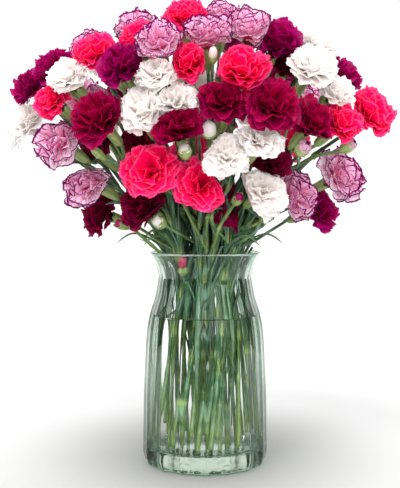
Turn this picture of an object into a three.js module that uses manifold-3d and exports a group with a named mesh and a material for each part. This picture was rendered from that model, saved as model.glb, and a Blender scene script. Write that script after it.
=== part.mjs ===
// Carnations in a ribbed glass vase, in millimetres, +Z up.
// The origin is the middle of the vase's foot, on the table. -Y is the bouquet's front.
import * as THREE from "three";
import { mergeVertices } from "three/addons/utils/BufferGeometryUtils.js";
import Module from "manifold-3d";

const wasm = await Module();
wasm.setup();

// Driving dimensions of the vase and its water.
const VASE_HEIGHT = 202;
const RIM_RADIUS = 52;
const NECK_RADIUS = 44;
const NECK_HEIGHT = 178;
const SHOULDER_RADIUS = 54.5;
const BODY_RADIUS = 59.5;
const FOOT_RADIUS = 53;
const GLASS = 3.4;
const FLOOR_HEIGHT = 15;
const FLUTES = 16;
const FLUTE_DEPTH = 2.2;
const WATER_LEVEL = 141;
const GAP = 0.35;
const SHORTEST_EDGE = 0.05;

// Driving dimensions of a carnation.
const STEM_RADIUS = 2.3;
const STALK_RADIUS = 1.5;
const CALYX_LENGTH = 21;
const CALYX_RADIUS = 5;
const PETAL_THICKNESS = 1;
const HEAD_LIFT = 0.6; // of the head's radius, from the top of the calyx to the middle of the petals
const HEAD_DEPTH = 0.72; // of the head's radius, from the middle of the petals to their top or bottom
const HEAD_FULLNESS = 1.15; // of the radii in the table
const BUD_LENGTH = 17;

// The dome of flower heads. Each head looks away from a point above the vase's mouth, which lies
// behind the axis for the heads in front, and before it for those on the back.
const DOME_MIDDLE = 335;
const DOME_HALF_WIDTH = 178;
const DOME_HALF_HEIGHT = 100;
const DOME_CHIN = -0.85; // of the half height: the dome's front goes straight down below it
const DOME_FRONT = 105;
const DOME_REAR = 60;
const FRONT_HUB = new THREE.Vector3(0, 45, 205);
const REAR_HUB = new THREE.Vector3(0, -20, 205);

// Heads and buds are placed where they are seen from in front: across and down in a 400 by 488
// picture whose middle looks along SIGHT_DIP from an eye at EYE.
const EYE = new THREE.Vector3(-4.75, -950, 256.5);
const EYE_FOCAL = 1000;
const SIGHT_DIP = THREE.MathUtils.degToRad(2.98);
const PICTURE_MIDDLE = [200, 244];

const PETAL_COLOURS = {
  white: 0xf4efe6,
  picotee: 0xe3a6cc,
  purple: 0x7a0a52,
  red: 0xe8123f,
};
const STEM_COLOUR = 0x4d7a4a;

// Each bunch stands at one spot in the neck of the vase. A head is [node, across, down, radius, back]:
// its place in the picture in pixels, its radius, and how far it lies behind the dome's front, in mm.
// Heads that share a node grow into each other. A rear head lies on the back of the dome. It and a
// bud start with the colour of their stem, and are one body with it. A leaf is [height of its foot
// over the neck, compass angle in degrees, shape, size].
const BUNCHES = [
  {
    name: "left",
    neck: [-28, 5],
    heads: [
      ["white_01", 24, 121, 24, 0],
      ["purple_01", 31, 85, 19, 0],
      ["purple_01", 53, 66, 20, 0],
      ["red_01", 53, 98, 18, -6],
      ["white_02", 68, 74, 21, -8],
      ["picotee_01", 57, 137, 25, -6],
    ],
    rear: [
      ["picotee", 76, 92, 21, 0],
      ["white", 100, 130, 21, 0],
    ],
    buds: [],
    leaves: [[23, 182, "arched", 1], [-4, 176, "sunk", 0.9]],
  },
  {
    name: "upper_left",
    neck: [-20, 20],
    heads: [
      ["picotee_02", 136, 25, 21, 34],
      ["red_02", 141, 38, 21, 8],
      ["red_03", 92, 51, 20, -4],
      ["picotee_03", 88, 44, 18, 34],
      ["purple_02", 122, 62, 22, -6],
      ["picotee_04", 99, 92, 22, 26],
    ],
    rear: [
      ["white", 108, 58, 20, -14],
      ["purple", 124, 98, 22, 0],
      ["red", 148, 72, 22, -8],
      ["picotee", 144, 138, 22, 0],
    ],
    buds: [],
    leaves: [[25, 135, "arched", 1]],
  },
  {
    name: "lower_left",
    neck: [-21, -19],
    heads: [
      ["purple_03", 98, 115, 26, -6],
      ["purple_16", 94, 146, 19, 34],
      ["picotee_05", 88, 179, 25, 0],
      ["purple_04", 99, 211, 21, 0],
      ["purple_05", 144, 205, 24, 0],
    ],
    rear: [],
    buds: [
      ["picotee", 99, 152, 4, 0],
      ["picotee", 58, 156, 5, -2],
      ["purple", 124, 223, 5, 0],
    ],
    leaves: [[25, 228, "arched", 0.9]],
  },
  {
    name: "centre_left",
    neck: [0, 0],
    heads: [
      ["white_03", 142, 108, 24, -2],
      ["white_03", 175, 97, 21, 0],
      ["red_04", 150, 166, 26, -4],
      ["purple_06", 136, 141, 19, 34],
    ],
    rear: [],
    buds: [
      ["white", 160, 221, 6, 0],
    ],
    leaves: [],
  },
  {
    name: "top",
    neck: [0, 28],
    heads: [
      ["red_05", 186, 14, 20, 14],
      ["picotee_06", 222, 14, 18, 20],
      ["picotee_10", 209, 31, 22, -6],
      ["picotee_11", 251, 25, 22, -4],
      ["picotee_07", 159, 39, 22, -14],
      ["white_04", 157, 69, 22, -4],
      ["red_06", 188, 58, 24, 0],
    ],
    rear: [
      ["red", 182, 42, 20, -18],
      ["picotee", 170, 106, 22, 0],
      ["white", 196, 78, 22, -4],
      ["red", 188, 146, 22, 0],
    ],
    buds: [["white", 213, 53, 4, -6]],
    leaves: [[25, 84, "arched", 1]],
  },
  {
    name: "centre",
    neck: [0, -28],
    heads: [
      ["purple_07", 178, 122, 25, -6],
      ["red_07", 202, 181, 25, 0],
      ["white_05", 227, 151, 22, -2],
      ["purple_08", 236, 204, 22, 16],
    ],
    rear: [],
    buds: [
      ["white", 209, 127, 7, 4],
      ["white", 185, 150, 6, -6],
      ["purple", 237, 198, 5, -8],
    ],
    leaves: [[-3, 262, "sunk", 1.1], [27, 275, "arched", 0.8]],
  },
  {
    name: "upper_right",
    neck: [20, 20],
    heads: [
      ["purple_09", 277, 38, 24, 4],
      ["purple_17", 287, 61, 18, 34],
      ["red_08", 241, 66, 26, -4],
      ["white_10", 315, 41, 20, 16],
      ["white_06", 313, 64, 23, -4],
    ],
    rear: [
      ["purple", 234, 42, 21, -18],
      ["red", 236, 84, 22, 0],
      ["purple", 216, 116, 22, 0],
      ["white", 262, 118, 22, 0],
      ["purple", 276, 74, 22, -10],
      ["white", 234, 150, 22, 0],
    ],
    buds: [],
    leaves: [],
  },
  {
    name: "centre_right",
    neck: [20, -20],
    heads: [
      ["purple_10", 226, 98, 23, -2],
      ["purple_11", 271, 102, 27, -8],
      ["white_07", 261, 136, 21, -2],
      ["purple_12", 272, 158, 19, 24],
      ["white_08", 263, 187, 25, -4],
      ["picotee_08", 296, 193, 24, 0],
    ],
    rear: [],
    buds: [
      ["picotee", 303, 146, 7, -4],
      ["white", 266, 216, 5, -4],
    ],
    leaves: [[25, 318, "arched", 0.9], [-5, 300, "sunk", 0.8]],
  },
  {
    name: "right",
    neck: [28, 0],
    heads: [
      ["purple_13", 343, 73, 18, 26],
      ["white_09", 337, 90, 17, 2],
      ["red_09", 371, 110, 23, 0],
      ["red_10", 342, 119, 21, -4],
      ["purple_14", 313, 119, 22, -4],
      ["picotee_09", 341, 173, 25, 0],
      ["purple_15", 321, 208, 20, 6],
    ],
    rear: [
      ["picotee", 306, 100, 21, 0],
      ["red", 292, 138, 21, 0],
    ],
    buds: [
      ["picotee", 348, 144, 6, -6],
    ],
    leaves: [[25, 352, "arched", 0.9], [-6, 20, "sunk", 0.9]],
  },
];

// A repeatable stream of numbers from 0 to 1.
function numberStream(seed) {
  let state = seed;
  return () => {
    state = (state * 16807) % 2147483647;
    return state / 2147483647;
  };
}

// The point at a given depth behind the dome's middle that is seen at a place in the picture.
function seenAt(across, down, depth) {
  const right = across - PICTURE_MIDDLE[0];
  const up = PICTURE_MIDDLE[1] - down;
  const ray = new THREE.Vector3(
    right,
    EYE_FOCAL * Math.cos(SIGHT_DIP) + up * Math.sin(SIGHT_DIP),
    up * Math.cos(SIGHT_DIP) - EYE_FOCAL * Math.sin(SIGHT_DIP),
  );
  return EYE.clone().addScaledVector(ray, (depth - EYE.y) / ray.y);
}

// The same for the dome's skin: reach is the dome's depth there, negative for its front.
const SIGHT_PASSES = 6;

function seenOnDome(across, down, reach, back) {
  let point = seenAt(across, down, 0);
  for (let pass = 0; pass < SIGHT_PASSES; pass++) {
    const wide = point.x / DOME_HALF_WIDTH;
    const high = Math.max(DOME_CHIN, (point.z - DOME_MIDDLE) / DOME_HALF_HEIGHT);
    const bulge = Math.sqrt(Math.max(0, 1 - wide * wide - high * high));
    point = seenAt(across, down, reach * bulge + back);
  }
  return point;
}

// Closed surfaces are skinned over rings of points, from one end to the other. A ring's points
// run anticlockwise as seen from the far end, and turns holds each point's share of a turn.
function ring(points) {
  return { points, turns: points.map((_, i) => i / points.length) };
}

function bridge(faces, low, high) {
  const turnAfter = (band, i) => (i + 1 < band.size ? band.turns[i + 1] : 1 + band.turns[0]);
  const stepsLow = low.size > 1 ? low.size : 0;
  const stepsHigh = high.size > 1 ? high.size : 0;
  let i = 0;
  let j = 0;
  while (i < stepsLow || j < stepsHigh) {
    const a = low.first + (i % low.size);
    const b = high.first + (j % high.size);
    const lowNext = i < stepsLow ? turnAfter(low, i) + low.turns[i] : Infinity;
    const highNext = j < stepsHigh ? turnAfter(high, j) + high.turns[j] : Infinity;
    if (lowNext <= highNext) {
      faces.push(a, low.first + ((i + 1) % low.size), b);
      i++;
    } else {
      faces.push(a, high.first + ((j + 1) % high.size), b);
      j++;
    }
  }
}

function skin(rings) {
  const positions = [];
  const faces = [];
  const bands = rings.map(({ points, turns }) => {
    const first = positions.length / 3;
    points.forEach((p) => positions.push(p.x, p.y, p.z));
    return { first, size: points.length, turns };
  });
  for (let k = 1; k < bands.length; k++) bridge(faces, bands[k - 1], bands[k]);
  const start = bands[0];
  for (let i = 2; i < start.size; i++) faces.push(start.first, start.first + i, start.first + i - 1);
  const end = bands[bands.length - 1];
  for (let i = 2; i < end.size; i++) faces.push(end.first, end.first + i - 1, end.first + i);
  const geometry = new THREE.BufferGeometry();
  geometry.setAttribute("position", new THREE.Float32BufferAttribute(positions, 3));
  geometry.setIndex(faces);
  return geometry;
}

function solidOf(geometry) {
  const bare = geometry.clone();
  bare.deleteAttribute("normal");
  bare.deleteAttribute("uv");
  const merged = mergeVertices(bare, 1e-4);
  return new wasm.Manifold(
    new wasm.Mesh({
      numProp: 3,
      vertProperties: new Float32Array(merged.attributes.position.array),
      triVerts: new Uint32Array(merged.index.array),
    }),
  );
}

function geometryOf(solid) {
  const { numProp, vertProperties, triVerts } = solid.getMesh();
  const positions = [];
  for (let i = 0; i < vertProperties.length; i += numProp)
    positions.push(vertProperties[i], vertProperties[i + 1], vertProperties[i + 2]);
  const geometry = new THREE.BufferGeometry();
  geometry.setAttribute("position", new THREE.Float32BufferAttribute(positions, 3));
  geometry.setIndex([...triVerts]);
  return geometry;
}

const union = (solids) => solids.reduce((whole, next) => whole.add(next));

// One body with no slivers: a hollow that fusing seals is filled, and a loose scrap is dropped.
const wholeOf = (solid) =>
  solid.decompose().reduce((a, b) => (b.volume() > a.volume() ? b : a)).simplify(SHORTEST_EDGE);

// The rings of a tube along a path, with a radius and a number of sides at each of its points. The
// first point of each ring lies along its across.
function tubeRings(path, radii, sides) {
  let across = new THREE.Vector3(1, 0.31, 0.17);
  return path.map((p, i) => {
    const ahead = path[Math.min(i + 1, path.length - 1)];
    const along = ahead.clone().sub(path[Math.max(i - 1, 0)]).normalize();
    across = across.clone().addScaledVector(along, -across.dot(along)).normalize();
    const beside = along.clone().cross(across);
    const points = [];
    for (let k = 0; k < sides[i]; k++) {
      const angle = (2 * Math.PI * k) / sides[i];
      const out = p.clone().addScaledVector(across, radii[i] * Math.cos(angle));
      points.push(out.addScaledVector(beside, radii[i] * Math.sin(angle)));
    }
    return { ...ring(points), across };
  });
}

// The petals of one head, in the head's own frame: it looks along +Z, sits on its calyx at 0 and
// has the middle of a petal along +X.
// Each layer has its edge radius and height, and the fold inside it, as shares of the head's radius.
const PETALS = 5;
const OUTER_LAYER = { edge: [0.7, 1, 1], radius: 1, height: 0.36, fold: [0.42, 0.46], wave: 0.09 };
const MIDDLE_LAYER = { edge: [0.78, 1], radius: 0.88, height: 0.88, fold: [0.28, 0.76], wave: 0.08 };
const INNER_LAYER = { edge: [1], radius: 0.54, height: 1.3, fold: [0, 1], wave: 0.05 };
const FRONT_LAYERS = [OUTER_LAYER, MIDDLE_LAYER, INNER_LAYER];
const REAR_LAYERS = [OUTER_LAYER, { ...INNER_LAYER, radius: 0.7, height: 1.16 }];

function petalRings(radius, layers, seed) {
  const next = numberStream(seed);
  const at = (turn, out, up) => {
    const angle = 2 * Math.PI * (turn - 0.5 / PETALS);
    return new THREE.Vector3(out * Math.cos(angle), out * Math.sin(angle), up);
  };
  const evenRing = (out, up) => ring([0, 1, 2, 3, 4].map((k) => at(k / PETALS, out, up)));
  const rings = [evenRing(CALYX_RADIUS / 2, 0)];
  let inside = [CALYX_RADIUS / radius, 0];
  layers.forEach((layer) => {
    const slope = Math.atan2(layer.height - inside[1], layer.radius - inside[0]);
    const under = [];
    const above = [];
    for (let petal = 0; petal < PETALS; petal++) {
      const length = 0.9 + 0.16 * next();
      const lift = 0.05 * (next() - 0.5);
      layer.edge.forEach((share, k) => {
        const turn = (petal + k / layer.edge.length) / PETALS;
        const out = radius * layer.radius * share * length;
        const wave = layer.wave * (k % 2 ? 1 : -1);
        const up = radius * (layer.height + lift + wave);
        under.push(at(turn, out, up));
        above.push(
          at(turn, out - PETAL_THICKNESS * Math.sin(slope), up + PETAL_THICKNESS * Math.cos(slope)),
        );
      });
    }
    rings.push(ring(under), ring(above));
    const [foldOut, foldUp] = layer.fold;
    rings.push(foldOut ? evenRing(radius * foldOut, radius * foldUp) : ring([at(0, 0, radius * foldUp)]));
    inside = layer.fold;
  });
  return rings;
}

// Every head and bud with its place and the way it looks.
function placeFlower([node, across, down, size, back], reach, layers, bunch) {
  const radius = layers ? HEAD_FULLNESS * size : size;
  const middle = seenOnDome(across, down, reach, back);
  const look = middle.clone().sub(reach < 0 ? FRONT_HUB : REAR_HUB).normalize();
  const seat = middle.clone().addScaledVector(look, layers ? -HEAD_LIFT * radius : -BUD_LENGTH / 2);
  return { node, colour: node.split("_")[0], radius, layers, bud: !layers, bunch, middle, look, seat };
}

BUNCHES.forEach((bunch) => {
  bunch.flowers = [
    ...bunch.heads.map((row) => placeFlower(row, -DOME_FRONT, FRONT_LAYERS, bunch)),
    ...bunch.rear.map((row) => placeFlower(row, DOME_REAR, REAR_LAYERS, bunch)),
    ...bunch.buds.map((row) => placeFlower(row, -DOME_FRONT, null, bunch)),
  ];
});
const flowers = BUNCHES.flatMap((bunch) => bunch.flowers);
const heads = flowers.filter((flower) => !flower.bud);
const frontHeads = heads.filter((head) => head.layers === FRONT_LAYERS);

// The main stems: one for each colour in a bunch, side by side. They touch in the neck, and lean
// apart above it, and below it in a spiral, to their cut ends on the vase's floor or a little above
// it. The first flower ends the stem, and each of the others leaves it a joint lower down.
const SPIRAL_TURN = THREE.MathUtils.degToRad(-40);
const SPIRAL_SPREAD = 1.24;
const NECK_STEP = 3.9; // between neighbouring stems
const FOOT_STEP = 7;
const FOOT_STAGGER = 0.2; // every other stem of a bunch stands this much further in, or out
const FORK_STEP = 7.5;
const FOOT_RISE = 7; // the next stem of a bunch ends this much higher
const FORK_RISE = 46; // of the highest joint, over the neck
const FORK_LEAN = 0.17; // of the way from the neck to the bunch's flowers
const JOINT_STEP = 0.21; // of that rise, between joints
const UP = new THREE.Vector3(0, 0, 1);

const meanOf = (points) =>
  points.reduce((sum, p) => sum.add(p), new THREE.Vector3()).divideScalar(points.length);

function mainStems(bunch) {
  const centre = new THREE.Vector3(bunch.neck[0], bunch.neck[1], NECK_HEIGHT);
  const goal = meanOf(bunch.flowers.map((flower) => flower.seat));
  const side = goal.clone().sub(centre).setZ(0).normalize().applyAxisAngle(UP, Math.PI / 2);
  const colours = [...new Set(bunch.flowers.map((flower) => flower.colour))];
  const groups = colours.map((colour) => bunch.flowers.filter((flower) => flower.colour === colour));
  const sideways = (group) => meanOf(group.map((flower) => flower.seat)).dot(side);
  groups.sort((a, b) => sideways(a) - sideways(b));
  return groups.map((own, k) => {
    const place = k - (groups.length - 1) / 2;
    const neck = centre.clone().addScaledVector(side, NECK_STEP * place);
    const foot = centre.clone().addScaledVector(side, FOOT_STEP * place);
    const stagger = 1 + FOOT_STAGGER * (k % 2 ? 1 : -1);
    foot.applyAxisAngle(UP, SPIRAL_TURN).multiplyScalar(SPIRAL_SPREAD * stagger);
    foot.z = FLOOR_HEIGHT + 2 * GAP + FOOT_RISE * k;
    const fork = centre.clone().lerp(goal, FORK_LEAN).addScaledVector(side, FORK_STEP * place);
    fork.z = NECK_HEIGHT + FORK_RISE + 4 * (k % 2);
    return { bunch, own, foot, neck, fork };
  });
}

// How far a flower's calyx or bud goes from its seat, along the way it looks.
const greenLength = (flower) => (flower.bud ? BUD_LENGTH : -CALYX_LENGTH);

// A stalk's chain of points, from its joint to the bottom of its calyx or bud.
const STALK_SEGMENTS = 4;

function stalkChain(stem, flower, k) {
  const joint = stem.fork.clone().lerp(stem.neck, k * JOINT_STEP);
  const bottom = flower.seat.clone().addScaledVector(flower.look, flower.bud ? 0 : -CALYX_LENGTH);
  const span = joint.distanceTo(bottom);
  const rising = stem.fork.clone().sub(stem.neck).normalize();
  const curve = new THREE.CubicBezierCurve3(
    joint,
    joint.clone().addScaledVector(rising, span * 0.3),
    bottom.clone().addScaledVector(flower.look, -span * 0.35),
    bottom,
  );
  return { stem, flower, bunch: flower.bunch, ends: k === 0, chain: curve.getPoints(STALK_SEGMENTS) };
}

const stems = BUNCHES.flatMap(mainStems);
const stalks = stems.flatMap((stem) => stem.own.map((flower, k) => stalkChain(stem, flower, k)));

// Bends the stalks clear of other bunches' stalks, stems and calyxes, of heads and of the rim. What
// pushes them is felt at spots along the segments, and shared between the segment's two ends.
const EASING_PASSES = 160;
const SPOTS = 5;
const STALK_ROOM = 6;
const CALYX_ROOM = 9;
const STEM_ROOM = 5.5;

function spotsAlong(chain) {
  const spots = [];
  for (let i = 0; i + 1 < chain.length; i++)
    for (let k = 0; k < SPOTS; k++)
      spots.push({ i, share: k / SPOTS, point: chain[i].clone().lerp(chain[i + 1], k / SPOTS) });
  return spots;
}

function pushFromHead(point, head, push) {
  const away = point.clone().sub(head.middle);
  const up = away.dot(head.look);
  const out = away.clone().addScaledVector(head.look, -up);
  const depth = Math.hypot(up / (head.radius * HEAD_DEPTH), out.length() / (head.radius + 3));
  if (depth < 1) push.addScaledVector(out.normalize(), 0.5 * (1 - depth) * head.radius);
}

function pushApart(point, other, room, push) {
  const away = point.clone().sub(other);
  const near = away.length();
  if (near < room) push.addScaledVector(away.divideScalar(near + 1e-6), 0.5 * (room - near));
}

function fixedObstacles() {
  const calyxes = flowers.flatMap((flower) =>
    [0, 0.25, 0.5, 0.75, 1].map((share) => ({
      owner: flower,
      room: CALYX_ROOM,
      point: flower.seat.clone().addScaledVector(flower.look, share * greenLength(flower)),
    })),
  );
  const stemSpots = stems.flatMap((stem) =>
    [0.1, 0.25, 0.4, 0.55, 0.7, 0.85, 1].map((share) => ({
      owner: stem,
      room: STEM_ROOM,
      point: stem.neck.clone().lerp(stem.fork, share),
    })),
  );
  return [...calyxes, ...stemSpots];
}

function easeStalks() {
  const obstacles = fixedObstacles();
  for (let pass = 0; pass < EASING_PASSES; pass++) {
    const all = stalks.map(({ stem, chain }) => ({ stem, spots: spotsAlong(chain) }));
    stalks.forEach(({ stem, flower, chain }, n) => {
      const moves = chain.map(() => new THREE.Vector3());
      all[n].spots.forEach(({ i, share, point }) => {
        const push = new THREE.Vector3();
        heads.forEach((head) => head !== flower && pushFromHead(point, head, push));
        obstacles.forEach(({ owner, room, point: spot }) => {
          if (owner !== flower && owner !== stem) pushApart(point, spot, room, push);
        });
        all.forEach((other, m) => {
          if (m === n || (other.stem === stem && i === 0)) return;
          other.spots.forEach((spot) => pushApart(point, spot.point, STALK_ROOM, push));
        });
        moves[i].addScaledVector(push, 1 - share);
        moves[i + 1].addScaledVector(push, share);
      });
      for (let i = 1; i + 1 < chain.length; i++) chain[i].add(moves[i]);
      for (let i = 1; i + 1 < chain.length; i++)
        chain[i].lerp(chain[i - 1].clone().add(chain[i + 1]).multiplyScalar(0.5), 0.3);
    });
  }
}
easeStalks();

// Heads that meet press each other flat: each is squeezed back to its own side of a plane.
const HEAD_REACH = 1.12; // of the head's radius
const SOFT_START = 6.5; // what is nearer than this to the seat keeps its shape

// Whether a point, given from the head's middle, is within the room of the bowl of its petals.
function reachesInto(head, offset, room) {
  const up = offset.dot(head.look);
  const out = Math.sqrt(Math.max(0, offset.lengthSq() - up * up));
  const rim = THREE.MathUtils.clamp((out - CALYX_RADIUS) / (head.radius - CALYX_RADIUS), 0, 1);
  const under = (-HEAD_LIFT + (OUTER_LAYER.height - OUTER_LAYER.wave) * rim) * head.radius;
  return out < HEAD_REACH * head.radius + room && up > under - room && up < HEAD_DEPTH * head.radius + room;
}

function pressPlanes(head) {
  const planes = [];
  heads.forEach((other) => {
    if (other === head || (other.node === head.node && head.layers === FRONT_LAYERS)) return;
    const across = other.middle.clone().sub(head.middle);
    const apart = across.length();
    if (apart > HEAD_REACH * (head.radius + other.radius)) return;
    across.normalize();
    const share = (apart * head.radius) / (head.radius + other.radius);
    planes.push({ across, limit: head.middle.clone().addScaledVector(across, share - GAP / 2) });
  });
  const keepOff = (point, room) => {
    const across = point.clone().sub(head.middle);
    if (!reachesInto(head, across, room)) return;
    across.normalize();
    planes.push({ across, limit: point.clone().addScaledVector(across, -room) });
  };
  stalks.forEach(({ flower, chain }) => {
    if (flower === head) return;
    spotsAlong(chain).forEach(({ point }) => keepOff(point, STALK_RADIUS + 2 * GAP));
    for (let share = 0; share <= 1; share += 0.25) {
      const spot = flower.seat.clone().addScaledVector(flower.look, share * greenLength(flower));
      keepOff(spot, CALYX_RADIUS + GAP + 0.4);
    }
  });
  return planes;
}

function squeeze(points, seat, planes) {
  planes.forEach(({ across, limit }) => {
    const depth = (point) => point.clone().sub(seat).dot(across);
    const room = limit.clone().sub(seat).dot(across);
    const reach = Math.max(...points.map(depth));
    const start = Math.min(SOFT_START, room - 0.5);
    if (reach <= room || start <= 0) return;
    points.forEach((point) => {
      const far = depth(point);
      const pressed = start + ((far - start) * (room - start)) / (reach - start);
      if (far > start) point.addScaledVector(across, pressed - far);
    });
  });
}

// The petals of a head in their place, with a petal turned to the side given.
function headRings(head, side, lift, seed) {
  const rings = petalRings(head.radius, head.layers, seed);
  const points = rings.flatMap((one) => one.points);
  const towards = side.clone().addScaledVector(head.look, -side.dot(head.look)).normalize();
  const beside = head.look.clone().cross(towards);
  const base = head.seat.clone().addScaledVector(head.look, lift);
  const frame = new THREE.Matrix4().makeBasis(towards, beside, head.look).setPosition(base);
  points.forEach((point) => point.applyMatrix4(frame));
  const planes = pressPlanes(head);
  for (let pass = 0; pass < 2; pass++) squeeze(points, base, planes);
  return rings;
}

// A front head turns a petal to the one that it shares a node with, or else upwards.
function frontHeadSolid(head, seed) {
  const partner = frontHeads.find((other) => other !== head && other.node === head.node);
  const side = partner ? partner.middle.clone().sub(head.middle) : UP;
  return solidOf(skin(headRings(head, side, GAP, seed)));
}

// Green parts. A stalk runs into its calyx, or into its closed bud: each is a swelling on the tube,
// as [distance past the chain's end, radius].
const CALYX_SHAPE = [
  [3, CALYX_RADIUS * 0.66],
  [CALYX_LENGTH, CALYX_RADIUS],
];
const budShape = (radius) => [
  [BUD_LENGTH * 0.35, radius],
  [BUD_LENGTH, radius * 0.3],
];

function stalkSolid({ stem, flower, chain, ends }, seed) {
  const end = chain[chain.length - 1];
  const swelling = flower.bud ? budShape(flower.radius) : CALYX_SHAPE;
  const points = [...chain, ...swelling.map(([far]) => end.clone().addScaledVector(flower.look, far))];
  const radii = [...chain.map(() => STALK_RADIUS), ...swelling.map(([, radius]) => radius)];
  const sides = [...chain.map(() => 3), ...swelling.map(() => 5)];
  if (ends) {
    points.unshift(stem.foot, stem.neck);
    radii.unshift(STEM_RADIUS * 1.1, STEM_RADIUS);
    radii[2] = STEM_RADIUS * 0.9;
    sides.unshift(5, 5);
    sides[2] = 5;
  }
  const rings = tubeRings(points, radii, sides);
  if (flower.layers === REAR_LAYERS) {
    const side = rings[rings.length - 1].across.clone().applyAxisAngle(flower.look, Math.PI / PETALS);
    rings.push(...headRings(flower, side, 0, seed).slice(1));
  }
  return solidOf(skin(rings));
}

// A leaf is a keeled blade along a curve of [out, up] steps from its stem: arched out over the rim,
// or sunk down beside the glass. grow widens it all round, for its slot in the water.
const LEAF_WIDTH = 7;
const LEAF_KEEL = 1.5;
const LEAF_CURVES = {
  arched: [[0, 0], [12, 11], [30, 17], [46, 8]],
  sunk: [[0, 0], [8, -16], [13, -42], [15, -72], [11, -104]],
};
const LEAF_WIDTHS = [0.35, 0.8, 1, 0.85, 0.5];

function leafSolid(bunch, [rise, compass, shape, size], grow = 0) {
  const stem = stems.find((one) => one.bunch === bunch);
  const share = rise > 0 ? rise / (stem.fork.z - stem.neck.z) : rise / (stem.neck.z - stem.foot.z);
  const foot = stem.neck.clone().lerp(rise > 0 ? stem.fork : stem.foot, Math.abs(share));
  const out = new THREE.Vector3(1, 0, 0).applyAxisAngle(UP, THREE.MathUtils.degToRad(compass));
  const across = out.clone().cross(UP);
  const knots = LEAF_CURVES[shape].map(([far, high]) =>
    foot.clone().addScaledVector(out, far * size).addScaledVector(UP, high * size),
  );
  const curve = new THREE.CatmullRomCurve3(knots);
  const rings = LEAF_WIDTHS.map((width, i) => {
    const at = i / LEAF_WIDTHS.length;
    const middle = curve.getPoint(at);
    const along = curve.getTangent(at);
    const face = along.clone().cross(across);
    const half = (LEAF_WIDTH / 2) * width + 2 * grow;
    const edge = (sign) => middle.clone().addScaledVector(across, sign * half).addScaledVector(face, grow);
    const keel = middle.clone().addScaledVector(face, -LEAF_KEEL - 2 * grow);
    return ring([edge(1), edge(-1), keel]);
  });
  rings.push(ring([curve.getPoint(1)]));
  return solidOf(skin(rings));
}

const carnations = new THREE.Group();

function addMesh(name, geometry, material) {
  const mesh = new THREE.Mesh(geometry, material);
  mesh.name = name;
  geometry.computeVertexNormals();
  carnations.add(mesh);
}

const stemMaterial = new THREE.MeshStandardMaterial({ color: STEM_COLOUR, roughness: 0.6 });
const REAR_SEED = 3000;
const FRONT_SEED = 1000;
BUNCHES.forEach((bunch, n) => {
  const own = stalks.filter((stalk) => stalk.bunch === bunch);
  const solids = [
    ...own.map((stalk, k) => stalkSolid(stalk, REAR_SEED + 31 * n + k)),
    ...bunch.leaves.map((leaf) => leafSolid(bunch, leaf)),
  ];
  addMesh("stems_" + bunch.name, geometryOf(wholeOf(union(solids))), stemMaterial);
});

[...new Set(frontHeads.map((head) => head.node))].forEach((node, n) => {
  const own = frontHeads.filter((head) => head.node === node);
  const material = new THREE.MeshStandardMaterial({ color: PETAL_COLOURS[own[0].colour], roughness: 0.7 });
  const solids = own.map((head, k) => frontHeadSolid(head, FRONT_SEED + 17 * n + k));
  addMesh("bloom_" + node, geometryOf(wholeOf(union(solids))), material);
});

// The vase: a fluted wall, a thick floor and a plain round lip.
function fluted(radius, height, depth) {
  const points = [];
  for (let k = 0; k < 2 * FLUTES; k++) {
    const angle = (Math.PI * k) / FLUTES;
    const out = radius - (k % 2 ? depth : 0);
    points.push(new THREE.Vector3(out * Math.cos(angle), out * Math.sin(angle), height));
  }
  return ring(points);
}

function plainRing(radius, height) {
  const points = [];
  for (let k = 0; k < FLUTES; k++) {
    const angle = (2 * Math.PI * k) / FLUTES;
    points.push(new THREE.Vector3(radius * Math.cos(angle), radius * Math.sin(angle), height));
  }
  return ring(points);
}

// Outer radius at each height, up the side.
const VASE_SIDE = [
  [FOOT_RADIUS, 0, 1],
  [BODY_RADIUS - 2.2, 3, 1],
  [BODY_RADIUS, 10, 1],
  [BODY_RADIUS - 1.6, 84, 1],
  [SHOULDER_RADIUS, 134, 1],
  [NECK_RADIUS + 3.2, 160, 0.9],
  [NECK_RADIUS, NECK_HEIGHT, 0.7],
  [NECK_RADIUS + 3, NECK_HEIGHT + 12, 0.5],
  [RIM_RADIUS, VASE_HEIGHT - 1, 0],
];

function innerSide() {
  return VASE_SIDE.filter(([, height]) => height > FLOOR_HEIGHT).map(([radius, height, flute]) => [
    (radius - GLASS - FLUTE_DEPTH * flute * 0.6) / Math.cos(Math.PI / FLUTES / 2),
    height,
  ]);
}

function vaseGeometry() {
  const outer = VASE_SIDE.map(([radius, height, flute]) => fluted(radius, height, FLUTE_DEPTH * flute));
  const lip = fluted(RIM_RADIUS - 0.8, VASE_HEIGHT, 0);
  const inner = innerSide().map(([radius, height]) => plainRing(radius, height));
  const lowest = innerSide()[0][0];
  const floor = [plainRing(lowest, FLOOR_HEIGHT + 6), plainRing(lowest - 5, FLOOR_HEIGHT)];
  return skin([...outer, lip, ...inner.reverse(), ...floor]);
}

const glass = new THREE.MeshStandardMaterial({
  color: 0xcfe3d8,
  roughness: 0.05,
  transparent: true,
  opacity: 0.35,
});
addMesh("vase", vaseGeometry(), glass);

const HOLE_RADIUS = 1.35 * (STEM_RADIUS + GAP);

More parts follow.
